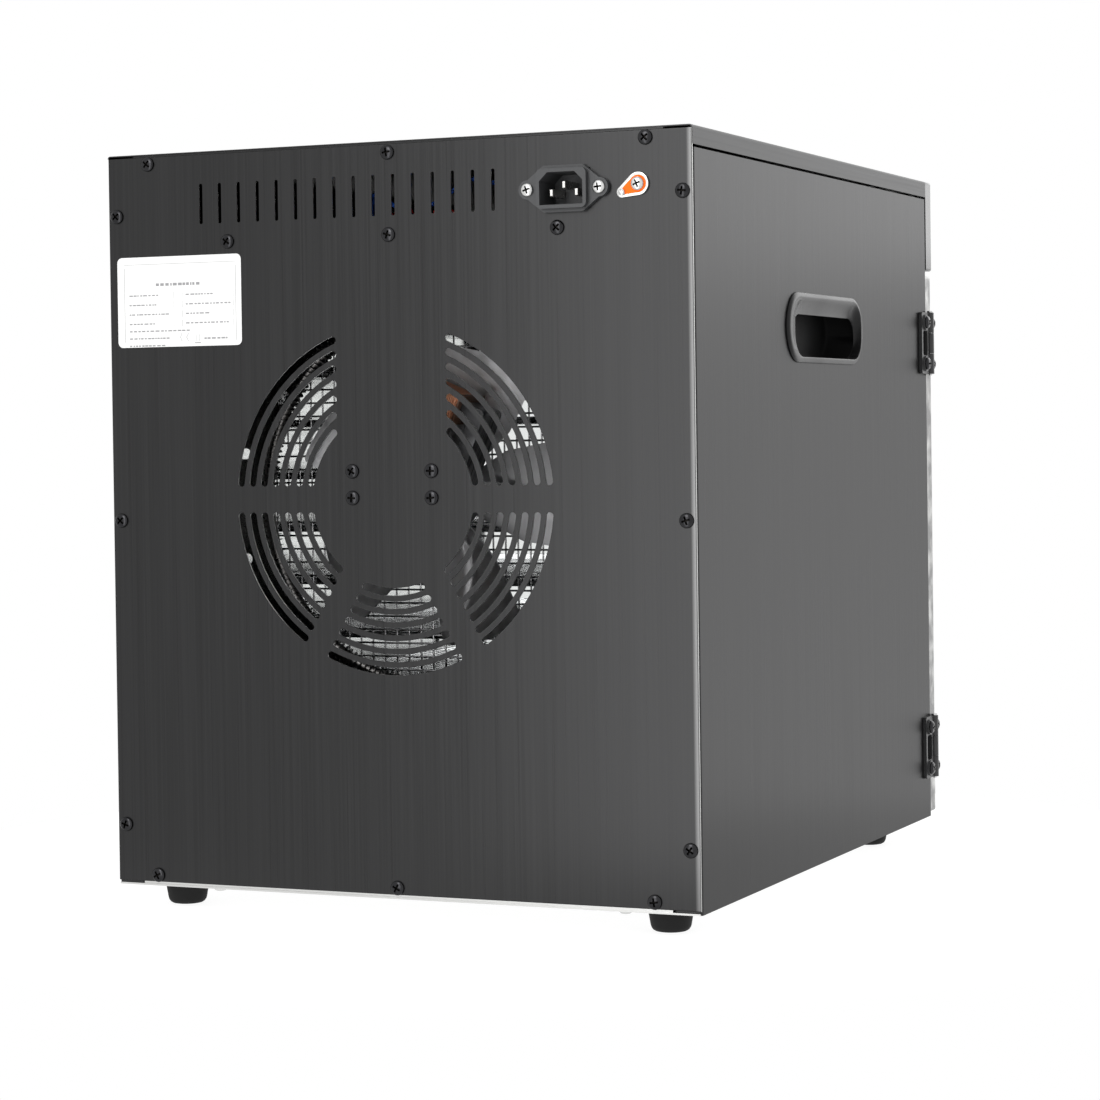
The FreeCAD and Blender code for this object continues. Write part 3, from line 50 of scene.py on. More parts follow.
# ---------------------------------------------------------------- mesh building
class Shape:
    """Collects vertices and faces of one piece, in millimetres."""

    def __init__(self):
        self.points = []
        self.faces = []
        self.face_slots = []

    def add(self, points, faces, slot=0):
        start = len(self.points)
        self.points.extend([Vector(point) for point in points])
        self.faces.extend([tuple(start + index for index in face) for face in faces])
        self.face_slots.extend([slot] * len(faces))

    def block(self, low, high):
        """Box between two corners."""
        x0, y0, z0 = low
        x1, y1, z1 = high
        points = [(x, y, z) for x in (x0, x1) for y in (y0, y1) for z in (z0, z1)]
        faces = [(0, 1, 3, 2), (4, 6, 7, 5), (0, 4, 5, 1), (2, 3, 7, 6), (0, 2, 6, 4), (1, 5, 7, 3)]
        self.add(points, faces)

    def loft(self, loops, inner_from=None):
        """Skin over loops of equally many points, closed at both ends.

        Rows from inner_from on take slot 1.
        """
        count = len(loops[0])
        points = [point for loop in loops for point in loop]
        faces = [tuple(reversed(range(count)))]
        for row in range(len(loops) - 1):
            a = row * count
            b = a + count
            for index in range(count):
                after = (index + 1) % count
                faces.append((a + index, a + after, b + after, b + index))
        faces.append(tuple(range((len(loops) - 1) * count, len(loops) * count)))
        self.add(points, faces)
        if inner_from is not None:
            inner = count * (len(loops) - 1 - inner_from) + 1
            self.face_slots[-inner:] = [1] * inner

    def copy(self, other, matrix, slot_shift=0):
        """Another shape's faces, moved by a matrix."""
        start = len(self.points)
        self.points.extend([matrix @ point for point in other.points])
        self.faces.extend([tuple(start + index for index in face) for face in other.faces])
        self.face_slots.extend([slot + slot_shift for slot in other.face_slots])

    def lathe(self, profile, origin, axis, segments):
        """Turn a profile of (radius, height) about an axis; a radius of 0 closes an end."""
        turn = Z_AXIS.rotation_difference(Vector(axis)).to_matrix()
        rings = []
        points = []
        for radius, height in profile:
            if radius == 0:
                rings.append([len(points)])
                points.append((0, 0, height))
                continue
            rings.append(list(range(len(points), len(points) + segments)))
            for index in range(segments):
                angle = 2 * math.pi * index / segments
                points.append((radius * math.cos(angle), radius * math.sin(angle), height))
        faces = []
        for lower, upper in zip(rings, rings[1:]):
            for index in range(segments):
                after = (index + 1) % segments
                if len(lower) == 1 and len(upper) == 1:
                    continue
                if len(lower) == 1:
                    faces.append((lower[0], upper[after], upper[index]))
                elif len(upper) == 1:
                    faces.append((lower[index], lower[after], upper[0]))
                else:
                    faces.append((lower[index], lower[after], upper[after], upper[index]))
        centre = Vector(origin)
        self.add([turn @ Vector(point) + centre for point in points], faces)

    def rod(self, start, end, radius, sides):
        """Straight round bar with closed ends."""
        direction = Vector(end) - Vector(start)
        profile = [(0, 0), (radius, 0), (radius, direction.length), (0, direction.length)]
        self.lathe(profile, start, direction, sides)

    def tube(self, path, radius, sides, closed=True):
        """Round tube along a path of points."""
        count = len(path)
        path = [Vector(point) for point in path]
        tangents = []
        for index in range(count):
            before = path[index - 1] if closed or index > 0 else path[index]
            after = path[(index + 1) % count] if closed or index < count - 1 else path[index]
            tangents.append((after - before).normalized())
        normal = tangents[0].orthogonal().normalized()
        points = []
        for index in range(count):
            tangent = tangents[index]
            normal = (normal - tangent * normal.dot(tangent)).normalized()
            binormal = tangent.cross(normal)
            for side in range(sides):
                angle = 2 * math.pi * side / sides
                points.append(path[index] + (normal * math.cos(angle) + binormal * math.sin(angle)) * radius)
        faces = []
        for index in range(count if closed else count - 1):
            a = index * sides
            b = ((index + 1) % count) * sides
            for side in range(sides):
                after = (side + 1) % sides
                faces.append((a + side, a + after, b + after, b + side))
        if not closed:
            faces.append(tuple(reversed(range(sides))))
            faces.append(tuple(range((count - 1) * sides, count * sides)))
        self.add(points, faces)

    def mesh(self, name):
        """The collected faces as a mesh in metres."""
        mesh = bpy.data.meshes.new(name)
        mesh.from_pydata([point * MM for point in self.points], [], self.faces)
        mesh.polygons.foreach_set("material_index", self.face_slots)
        mesh.validate()
        return mesh

    def piece(self, name, *materials, smooth=35):
        """A new object with these materials, smooth where its faces meet at under that angle."""
        mesh = self.mesh(name)
        for material in materials:
            mesh.materials.append(material)
        soften(mesh, smooth)
        thing = bpy.data.objects.new(name, mesh)
        bpy.context.scene.collection.objects.link(thing)
        return thing


def soften(mesh, degrees):
    """Shade a mesh smooth, with sharp edges where faces meet at more than an angle."""
    mesh.polygons.foreach_set("use_smooth", [True] * len(mesh.polygons))
    mesh.set_sharp_from_angle(angle=math.radians(degrees))


def bevel(thing, width):
    """Join a CAD node's split vertices and round its sharp edges."""
    weld = thing.modifiers.new("join", "WELD")
    weld.merge_threshold = 0.01 * MM
    modifier = thing.modifiers.new("edge_rounding", "BEVEL")
    modifier.width = width
    modifier.segments = 3
    modifier.limit_method = "ANGLE"
    modifier.angle_limit = math.radians(40)
    modifier.harden_normals = False
    modifier.use_clamp_overlap = True


def rounded_loop(x0, x1, y0, y1, z, radius, steps=8):
    """Closed path around a rectangle with round corners, in a level plane."""
    corners = [(x1 - radius, y1 - radius, 0), (x0 + radius, y1 - radius, 90)]
    corners += [(x0 + radius, y0 + radius, 180), (x1 - radius, y0 + radius, 270)]
    path = []
    for cx, cy, start in corners:
        for step in range(steps + 1):
            angle = math.radians(start + 90 * step / steps)
            path.append((cx + radius * math.cos(angle), cy + radius * math.sin(angle), z))
    return path


# ---------------------------------------------------------------- materials
class Finish:
    """A material with helpers for its nodes."""

    def __init__(self, name, colour, metallic=0.0, roughness=0.5):
        self.material = bpy.data.materials.new(name)
        self.material.use_nodes = True
        self.tree = self.material.node_tree
        self.shader = self.tree.nodes["Principled BSDF"]
        self.shader.inputs["Base Color"].default_value = (*colour, 1)
        self.shader.inputs["Metallic"].default_value = metallic
        self.shader.inputs["Roughness"].default_value = roughness
        self.material.diffuse_color = (*colour, 1)
        self.coords = None

    def node(self, kind, **values):
        node = self.tree.nodes.new(kind)
        for name, value in values.items():
            setattr(node, name, value)
        return node

    def link(self, source, target):
        self.tree.links.new(source, target)

    def place(self):
        """Place in object space, in metres."""
        if self.coords is None:
            self.coords = self.node("ShaderNodeTexCoord")
        return self.coords.outputs["Object"]

    def noise(self, scale, detail=4.0, roughness=0.5):
        """Noise in object space, with this many features a metre along each axis."""
        mapping = self.node("ShaderNodeMapping")
        mapping.inputs["Scale"].default_value = scale
        self.link(self.place(), mapping.inputs["Vector"])
        noise = self.node("ShaderNodeTexNoise")
        noise.inputs["Scale"].default_value = 1.0
        noise.inputs["Detail"].default_value = detail
        noise.inputs["Roughness"].default_value = roughness
        self.link(mapping.outputs["Vector"], noise.inputs["Vector"])
        return noise.outputs["Fac"]

    def math(self, operation, source, value=0.0):
        node = self.node("ShaderNodeMath", operation=operation)
        self.link(source, node.inputs[0])
        node.inputs[1].default_value = value
        return node.outputs["Value"]

    def axis(self, vector, name):
        """One coordinate of a vector."""
        split = self.node("ShaderNodeSeparateXYZ")
        self.link(vector, split.inputs["Vector"])
        return split.outputs[name]

    def ramp(self, source, stops):
        """Colour ramp with (place, colour) stops."""
        ramp = self.node("ShaderNodeValToRGB")
        elements = ramp.color_ramp.elements
        while len(elements) < len(stops):
            elements.new(0.5)
        for element, (place, colour) in zip(elements, stops):
            element.position = place
            element.color = (*colour, 1)
        self.link(source, ramp.inputs["Fac"])
        return ramp.outputs["Color"]

    def spread(self, source, low, high, from_low=0.3, from_high=0.7):
        """Map a value to a range."""
        node = self.node("ShaderNodeMapRange")
        node.inputs["From Min"].default_value = from_low
        node.inputs["From Max"].default_value = from_high
        node.inputs["To Min"].default_value = low
        node.inputs["To Max"].default_value = high
        self.link(source, node.inputs["Value"])
        return node.outputs["Result"]

    def mix(self, factor, first, second):
        """Blend two colours by a factor."""
        node = self.node("ShaderNodeMix", data_type="RGBA")
        self.link(factor, node.inputs["Factor"])
        for source, target in ((first, node.inputs["A"]), (second, node.inputs["B"])):
            if isinstance(source, tuple):
                target.default_value = (*source, 1)
            else:
                self.link(source, target)
        return node.outputs["Result"]

    def bump(self, source, strength, distance):
        node = self.node("ShaderNodeBump")
        node.inputs["Strength"].default_value = strength
        node.inputs["Distance"].default_value = distance
        self.link(source, node.inputs["Height"])
        self.link(node.outputs["Normal"], self.shader.inputs["Normal"])

    def set(self, socket, source):
        self.link(source, self.shader.inputs[socket])

    def colour(self):
        """What feeds the base colour now."""
        return self.shader.inputs["Base Color"].links[0].from_socket


# Features a metre along each axis of a brushed sheet's streaks and bands.
BRUSHED_ALONG = {"x": (5, 620, 620), "y": (620, 5, 620), "z": (950, 950, 5)}
SOFT_BRUSHED_ALONG = {"x": (2, 130, 130), "y": (130, 2, 130), "z": (130, 130, 2)}
BAND_STRENGTH = 0.25       # of the streaks' contrast


def scaled(colour, factor):
    return tuple(channel * factor for channel in colour)


def brushed(name, colour, along, roughness=0.3, contrast=0.1, grain=0.05):
    """Sheet metal brushed along one axis: fine streaks over soft bands."""
    finish = Finish(name, colour, 1.0, roughness)
    fine = finish.noise(BRUSHED_ALONG[along], detail=3, roughness=0.6)
    soft = finish.noise(SOFT_BRUSHED_ALONG[along], detail=2)
    streaks = finish.ramp(fine, [(0.3, scaled(colour, 1 - contrast)), (0.7, scaled(colour, 1 + contrast))])
    faint = contrast * BAND_STRENGTH
    bands = finish.ramp(soft, [(0.3, scaled(colour, 1 - faint)), (0.7, scaled(colour, 1 + faint))])
    finish.set("Base Color", finish.mix(finish.spread(soft, 0.4, 0.6), streaks, bands))
    finish.set("Roughness", finish.spread(fine, roughness - 0.03, roughness + 0.04))
    finish.bump(fine, grain, 0.00003)
    return finish


def moulded(name, colour, roughness, grain_size=900, grain=0.25, depth=0.00008):
    """Moulded plastic with a fine pebble texture and slight handling marks."""
    finish = Finish(name, colour, 0.0, roughness)
    pebble = finish.noise((grain_size,) * 3, detail=2)
    marks = finish.noise((22, 22, 22), detail=4)
    finish.set("Base Color", finish.ramp(marks, [(0.3, scaled(colour, 0.9)), (0.7, scaled(colour, 1.12))]))
    finish.set("Roughness", finish.spread(marks, roughness - 0.05, roughness + 0.06))
    finish.bump(pebble, grain, depth)
    return finish


def plated(name, colour, roughness, variation=0.06):
    """Smooth plated metal with slight clouding."""
    finish = Finish(name, colour, 1.0, roughness)
    cloud = finish.noise((160, 160, 160), detail=3)
    low = scaled(colour, 1 - variation)
    high = scaled(colour, 1 + variation)
    finish.set("Base Color", finish.ramp(cloud, [(0.3, low), (0.7, high)]))
    finish.set("Roughness", finish.spread(cloud, roughness * 0.8, roughness * 1.25))
    return finish


def printed(name, colour, roughness):
    """Printed film with a faint fibre."""
    finish = Finish(name, colour, 0.0, roughness)
    fibre = finish.noise((1500, 1500, 1500), detail=2)
    finish.set("Base Color", finish.ramp(fibre, [(0.3, scaled(colour, 0.985)), (0.7, scaled(colour, 1.01))]))
    finish.set("Roughness", finish.spread(fibre, roughness - 0.04, roughness + 0.04))
    return finish


def turned_edge_colour(finish, face_colour, edge_colour, axis, low, high):
    """Blend to an edge colour where the surface turns away from an axis of its own piece."""
    geometry = finish.node("ShaderNodeNewGeometry")
    spaces = {"convert_from": "WORLD", "convert_to": "OBJECT"}
    turned = finish.node("ShaderNodeVectorTransform", vector_type="NORMAL", **spaces)
    finish.link(geometry.outputs["True Normal"], turned.inputs["Vector"])
    facing = finish.math("ABSOLUTE", finish.axis(turned.outputs["Vector"], axis))
    edge = finish.spread(facing, 1.0, 0.0, low, high)
    finish.set("Base Color", finish.mix(edge, face_colour, edge_colour))


BLACK_STEEL = (0.041, 0.041, 0.0415)
# Bare steel grey of cut edges; on the rear panel's rounded rims the same grey is a painted highlight.
RAW_EDGE = (0.70, 0.70, 0.69)
# Lighter grey painted on the rear panel's rolled side at -X as a painted highlight.
PAINTED_RIM_HIGHLIGHT = (0.26, 0.26, 0.26)
ROLLED_SIDE = (-0.1712, -0.1692)   # span in x of the rear panel's rolled side, which gets a painted highlight


def rear_panel_finish():
    """Black brushed sheet with a painted highlight along its rolled side at -X, and bare cut edges whose
    light grey also lands on the rounded rims as a painted highlight.
    """
    finish = brushed("rear_panel_finish", BLACK_STEEL, "z", contrast=0.15, grain=0.02)
    across = finish.axis(finish.place(), "X")
    # Painted highlight: lighter grey along the rolled side at -X.
    rolled = finish.spread(across, 0.55, 0.0, *ROLLED_SIDE)
    painted_highlight_mix = finish.mix(rolled, finish.colour(), PAINTED_RIM_HIGHLIGHT)
    # Light grey where the surface turns from the panel's face: bare steel on cut edges, painted highlight on
    # the rounded rims.
    turned_edge_colour(finish, painted_highlight_mix, RAW_EDGE, "Y", 0.25, 0.5)
    return finish


def laminated():
    """Stack of stamped steel sheets, seen as fine stripes."""
    finish = Finish("laminated_steel", (0.16, 0.16, 0.165), 1.0, 0.42)
    stripes = finish.noise((30, 1500, 30), detail=1)
    finish.set("Base Color", finish.ramp(stripes, [(0.4, (0.05, 0.05, 0.052)), (0.6, (0.3, 0.3, 0.31))]))
    finish.set("Roughness", finish.spread(stripes, 0.35, 0.5))
    finish.bump(stripes, 0.4, 0.0002)
    return finish


def clear_glass():
    """Tempered glass with a light grey tint and slight smudges."""
    finish = Finish("clear_glass", (0.82, 0.84, 0.83), 0.0, 0.01)
    finish.shader.inputs["Transmission Weight"].default_value = 1.0
    finish.shader.inputs["IOR"].default_value = 1.45
    smudge = finish.noise((14, 14, 14), detail=4)
    finish.set("Roughness", finish.spread(smudge, 0.0, 0.03, 0.5, 0.8))
    return finish


def mottled_edge():
    """Door steel whose narrow sides turn a lighter, uneven grey."""
    finish = brushed("door_steel", (0.06, 0.06, 0.062), "x", contrast=0.12)
    wear = finish.noise((70, 70, 70), detail=2)
    uneven_edge_grey = finish.ramp(wear, [(0.42, (0.13, 0.13, 0.13)), (0.74, (0.45, 0.45, 0.44))])
    turned_edge_colour(finish, finish.colour(), uneven_edge_grey, "Y", 0.3, 0.6)
    return finish


black_z = brushed("black_brushed_vertical", BLACK_STEEL, "z", contrast=0.15, grain=0.02)
black_y = brushed("black_brushed_lengthwise", BLACK_STEEL, "y", contrast=0.15, grain=0.02)
for sheet in (black_z, black_y):
    sheet.shader.inputs["Specular Tint"].default_value = (0.7, 0.7, 0.7, 1)
bare_steel = brushed("bare_steel", (0.60, 0.60, 0.59), "x", contrast=0.04)
liner_steel = brushed("liner_steel", (0.64, 0.64, 0.635), "y", roughness=0.2, contrast=0.03)
handle_steel = brushed("handle_steel", (0.60, 0.60, 0.60), "z", roughness=0.28, contrast=0.05)
fan_metal = plated("fan_aluminium", (0.50, 0.50, 0.51), 0.36, 0.03)
wire_chrome = plated("wire_chrome", (0.66, 0.66, 0.67), 0.14)
bright_zinc = plated("bright_zinc", (0.66, 0.66, 0.65), 0.26)
recess_shade = plated("recess_shade", (0.014, 0.013, 0.012), 0.5, 0.2)
black_oxide = plated("black_oxide", (0.034, 0.034, 0.036), 0.2, 0.2)
hinge_black = moulded("hinge_black", (0.02, 0.02, 0.021), 0.4, 700, 0.1)
zinc_sheet = plated("zinc_sheet", (0.46, 0.47, 0.48), 0.36, 0.15)
heater_sheath = plated("heater_sheath", (0.17, 0.165, 0.16), 0.3, 0.15)
copper = plated("enamelled_copper", (0.95, 0.46, 0.27), 0.4, 0.06)
copper.shader.inputs["Metallic"].default_value = 0.45
# Dark brown for the coil's end cheeks: painted shade where the coil's end faces lie in shadow.
end_cheek_shade = moulded("end_cheek_shade", (0.10, 0.05, 0.03), 0.4, 400, 0.1)
nickel = plated("nickel", (0.55, 0.54, 0.52), 0.28)
laminated_steel = laminated()
grip_plastic = moulded("grip_plastic", (0.010, 0.010, 0.0105), 0.3, 900, 0.1)
grip_plastic.shader.inputs["Specular IOR Level"].default_value = 0.22
# Darker, duller copy of the grip plastic for the pocket: painted shade inside the recess.
pocket_shade_plastic = moulded("pocket_shade_plastic", (0.004, 0.004, 0.0042), 0.6, 900, 0.1)
pocket_shade_plastic.shader.inputs["Specular IOR Level"].default_value = 0.12
inlet_plastic = moulded("inlet_plastic", (0.034, 0.035, 0.037), 0.5, 1300, 0.5, 0.00012)
rubber = moulded("foot_rubber", (0.010, 0.010, 0.010), 0.7, 600)
rubber.shader.inputs["Specular IOR Level"].default_value = 0.2
bakelite = moulded("bakelite", (0.10, 0.04, 0.025), 0.4)
blue_sleeve = moulded("blue_sleeve", (0.02, 0.12, 0.62), 0.3, 300, 0.05)
red_sleeve = moulded("red_sleeve", (0.65, 0.03, 0.02), 0.3, 300, 0.05)
silicone = moulded("grey_silicone", (0.16, 0.16, 0.165), 0.6, 500, 0.1)
fascia_plastic = moulded("fascia_plastic", (0.014, 0.014, 0.015), 0.2, 500, 0.03)
window_plastic = moulded("smoked_window", (0.006, 0.006, 0.008), 0.08, 300, 0.02)
button_plastic = moulded("button_plastic", (0.06, 0.06, 0.063), 0.38, 900, 0.1)
board_green = moulded("board_green", (0.012, 0.11, 0.045), 0.35, 200, 0.2)
orange_film = moulded("orange_film", (0.95, 0.15, 0.006), 0.35, 300, 0.05)
orange_film.shader.inputs["Specular IOR Level"].default_value = 0.1
label_white = printed("label_white", (0.70, 0.70, 0.695), 0.4)
label_ink = printed("label_ink", (0.25, 0.25, 0.255), 0.5)
symbol_ink = printed("symbol_ink", (0.75, 0.75, 0.76), 0.5)


def dress(node, finish, edge=None):
    """Give a CAD node its finish, and round its edges where asked."""
    thing = NODES[node]
    thing.data.materials.clear()
    thing.data.materials.append(finish.material)
    if edge is not None:
        bevel(thing, edge * MM)


CAD_FINISHES = {
    "rear_panel": (rear_panel_finish(), None),
    "top_cover": (black_y, None),
    "left_side_panel": (black_z, None),
    "right_side_panel": (black_z, None),
    "base_plate": (bare_steel, None),
    "front_frame": (liner_steel, None),
    "power_inlet": (inlet_plastic, 0.35),
    "inlet_pins": (nickel, 0.7),
    "blue_wires": (blue_sleeve, None),
    "red_wires": (red_sleeve, None),
    "liner_left_wall": (liner_steel, None),
    "liner_right_wall": (liner_steel, None),
    "liner_ceiling": (liner_steel, None),
    "chamber_floor": (liner_steel, None),
    "left_tray_rack": (liner_steel, None),
    "right_tray_rack": (liner_steel, None),
    "fan_baffle": (liner_steel, None),
    "motor_shaft": (handle_steel, 0.3),
    "rotor_core": (laminated_steel, 0.3),
    "motor_stator": (laminated_steel, 0.3),
    "motor_bearings": (zinc_sheet, 0.4),
    "motor_bracket": (zinc_sheet, 0.3),
    "thermal_cutout": (bakelite, 0.3),
    "control_fascia": (fascia_plastic, 0.4),
    "display_window": (window_plastic, 0.2),
    "control_board": (board_green, 0.1),
    "door_frame": (mottled_edge(), None),
    "door_glass": (clear_glass(), None),
    "door_seal": (silicone, 0.3),
    "door_handle": (handle_steel, 0.4),
    "door_magnets": (nickel, 0.3),
    "body_hinge_leaves": (hinge_black, 0.3),
    "door_hinge_leaves": (hinge_black, 0.3),
    "hinge_pins": (handle_steel, 0.2),
    "rating_label": (label_white, None),
    "power_button": (button_plastic, 0.3),
    "start_button": (button_plastic, 0.3),
    "minus_button": (button_plastic, 0.3),
    "plus_button": (button_plastic, 0.3),
}
for node_name, (node_finish, rounding) in CAD_FINISHES.items():
    dress(node_name, node_finish, rounding)


def settle(thing, body, node):
    """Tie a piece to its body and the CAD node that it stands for."""
    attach(thing, body)
    if node is not None:
        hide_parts(node)


# ---------------------------------------------------------------- trays
def tray_mesh():
    """One tray at the lowest level: round rim, cross bars and welded square mesh."""
    low, high = [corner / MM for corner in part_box("tray_01")]
    rim = 2.0
    bar = 1.2
    wire = 0.55
    pitch = 6.0
    shape = Shape()
    middle = low.z + rim
    loop = rounded_loop(low.x + rim, high.x - rim, low.y + rim, high.y - rim, middle, 8)
    shape.tube(loop, rim, sides=12)
    top = high.z - wire
    columns = int((high.x - low.x - 4 * rim) / pitch)
    for index in range(columns):
        x = (index - (columns - 1) / 2) * pitch
        shape.rod((x, low.y + rim, top), (x, high.y - rim, top), wire, 6)
    rows = int((high.y - low.y - 4 * rim) / pitch)
    centre = (low.y + high.y) / 2
    for index in range(rows):
        y = centre + (index - (rows - 1) / 2) * pitch
        shape.rod((low.x + rim, y, top - wire), (high.x - rim, y, top - wire), wire, 6)
    for share in (0.25, 0.5, 0.75):
        y = low.y + (high.y - low.y) * share
        shape.rod((low.x + rim, y, middle - rim + bar), (high.x - rim, y, middle - rim + bar), bar, 10)
    mesh = shape.mesh("tray_wirework")
    mesh.materials.append(wire_chrome.material)
    soften(mesh, 50)
    return mesh


shared_tray = tray_mesh()
first_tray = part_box("tray_01")[0].z
for number in range(1, 11):
    tray_node = f"tray_{number:02d}"
    tray = bpy.data.objects.new(f"wire_{tray_node}", shared_tray)
    bpy.context.scene.collection.objects.link(tray)
    tray.location.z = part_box(tray_node)[0].z - first_tray
    settle(tray, f"{tray_node}_shelf", tray_node)


# ---------------------------------------------------------------- fan, guard and heater
FAN_Z = 225.8
FAN_RADIUS = 82.5
BLADE_Y = 160.0
BLADE_PITCH = math.radians(22)
BLADE_CURVE = 150.0
BLADE_SHEET = 0.6          # half the sheet's thickness
BLADE_ROOT = (17.0, 11.0)  # radius and half width
BLADE_SHOULDER = (44.0, 26.5)
BLADE_TIP = (88.5, 34.5)
CORNER_BLEND = 2.5         # larger rounds the tip corners more
FAN_AXIS = Vector((0, 0, FAN_Z))


def blade_half_width(x):
    """Half the blade's width at a distance from the axis, with rounded tip corners."""
    low, high = (BLADE_ROOT, BLADE_SHOULDER) if x < BLADE_SHOULDER[0] else (BLADE_SHOULDER, BLADE_TIP)
    straight = low[1] + (high[1] - low[1]) * (x - low[0]) / (high[0] - low[0])
    round_tip = math.sqrt(max(FAN_RADIUS**2 - x * x, 0.01))
    if round_tip <= 4:
        return round_tip
    return -math.log(math.exp(-straight / CORNER_BLEND) + math.exp(-round_tip / CORNER_BLEND)) * CORNER_BLEND


def blade_rise(x, z):
    """Height of the pressed blade over its chord: cylinder sweep and stiffening rib."""
    sweep = BLADE_CURVE - math.sqrt(BLADE_CURVE**2 - z * z)
    rib_line = -7 + 0.016 * (x - 30) ** 2
    fade = max(0.0, min(1.0, (x - 24) / 8, (66 - x) / 10))
    rib = 1.7 * math.exp(-(((z - rib_line) / 2.6) ** 2)) * fade
    return sweep - rib


def fan_blade():
    """One blade pointing along +X, already pitched."""
    spans = 44
    across = 28
    root = BLADE_ROOT[0]
    shares = [math.sin(math.pi / 2 * index / spans) for index in range(spans + 1)]
    xs = [root + (FAN_RADIUS - root) * share for share in shares]
    xs[-1] = FAN_RADIUS - 0.02
    shape = Shape()
    points = []
    for side in (-1, 1):
        for x in xs:
            half = blade_half_width(x)
            for step in range(across + 1):
                z = half * (2 * step / across - 1)
                points.append((x, blade_rise(x, z) + side * BLADE_SHEET, z))
    row = across + 1
    sheet = row * (spans + 1)
    faces = []
    for index in range(spans):
        for step in range(across):
            a = index * row + step
            faces.append((a, a + row, a + row + 1, a + 1))
            faces.append((a + sheet, a + sheet + 1, a + sheet + row + 1, a + sheet + row))
    rim = list(range(row))
    rim += [index * row + across for index in range(1, spans + 1)]
    rim += [spans * row + step for step in range(across - 1, -1, -1)]
    rim += [index * row for index in range(spans - 1, 0, -1)]
    for start, end in zip(rim, rim[1:] + rim[:1]):
        faces.append((start, end, end + sheet, start + sheet))
    shape.add(points, faces)
    pitched = Matrix.Rotation(BLADE_PITCH, 4, "X")
    shape.points = [pitched @ point for point in shape.points]
    return shape


def make_fan():
    """Pressed five-blade impeller on a stepped hub."""
    shape = Shape()
    blade = fan_blade()
    for index in range(5):
        turn = Matrix.Rotation(math.radians(-35 + 72 * index), 4, "Y")
        shape.copy(blade, Matrix.Translation(FAN_AXIS + Y_AXIS * BLADE_Y) @ turn)
    hub = [(3, 155.4), (8.4, 155), (9, 155.6), (9, 156.6), (19, 157), (21.2, 157.5), (22, 158.6), (22, 169.6)]
    hub += [(21.4, 170.6), (20.4, 171), (12, 170.6), (9.6, 171.4), (9, 172.2), (9, 174.4), (8.4, 175)]
    hub += [(3, 174.6), (3, 155.4)]
    shape.lathe(hub, FAN_AXIS, Y_AXIS, 64)
    settle(shape.piece("pressed_fan", fan_metal.material, smooth=40), "fan", "fan_impeller")


def make_guard():
    """Welded grid of round wires inside a ring."""
    radius = 120.8
    pitch = 7.5
    wire = 0.55
    shape = Shape()
    ring = []
    for index in range(128):
        angle = 2 * math.pi * index / 128
        ring.append((radius * math.cos(angle), 144.2, FAN_Z + radius * math.sin(angle)))
    shape.tube(ring, 1.2, sides=10)
    count = int(radius / pitch)
    for index in range(-count, count + 1):
        offset = index * pitch
        reach = math.sqrt(radius**2 - offset**2)
        if reach < 3:
            continue
        shape.rod((offset, 143.6, FAN_Z - reach), (offset, 143.6, FAN_Z + reach), wire, 8)
        shape.rod((-reach, 144.8, FAN_Z + offset), (reach, 144.8, FAN_Z + offset), wire, 8)
    guard = shape.piece("guard_wirework", wire_chrome.material, smooth=50)
    settle(guard, "cabinet", "fan_guard")


def make_heater():
    """Ring-shaped sheathed heater with a wound fin and two leads."""
    ring = 106.0
    y = 165.0
    core = 3.25
    fin = 5.0
    fin_pitch = 3.2
    opening = math.asin(13 / ring)
    shape = Shape()

    def on_ring(share):
        angle = math.pi / 2 + opening + (2 * math.pi - 2 * opening) * share
        outward = Vector((math.cos(angle), 0, math.sin(angle)))
        return FAN_AXIS + Y_AXIS * y + outward * ring, outward

    path = [Vector((-13, y, 363))]
    path += [on_ring(index / 160)[0] for index in range(161)]
    path.append(Vector((13, y, 363)))
    shape.tube(path, core, sides=16, closed=False)
    turns = int((2 * math.pi - 2 * opening) * ring / fin_pitch)
    steps = 18
    points = []
    for index in range(turns * steps + 1):
        centre, outward = on_ring(index / (turns * steps))
        around = 2 * math.pi * index / steps
        radial = outward * math.cos(around) + Y_AXIS * math.sin(around)
        along = outward.cross(Y_AXIS)
        for distance, shift in ((core - 0.1, -0.25), (fin, -0.12), (fin, 0.12), (core - 0.1, 0.25)):
            points.append(centre + radial * distance + along * shift)
    faces = [(0, 1, 2, 3)]
    for index in range(turns * steps):
        a = index * 4
        faces += [(a, a + 4, a + 5, a + 1), (a + 1, a + 5, a + 6, a + 2)]
        faces += [(a + 2, a + 6, a + 7, a + 3), (a + 3, a + 7, a + 4, a)]
    last = turns * steps * 4
    faces.append((last + 3, last + 2, last + 1, last))
    shape.add(points, faces)
    heater = shape.piece("finned_heater", heater_sheath.material, smooth=50)
    settle(heater, "cabinet", "heating_element")


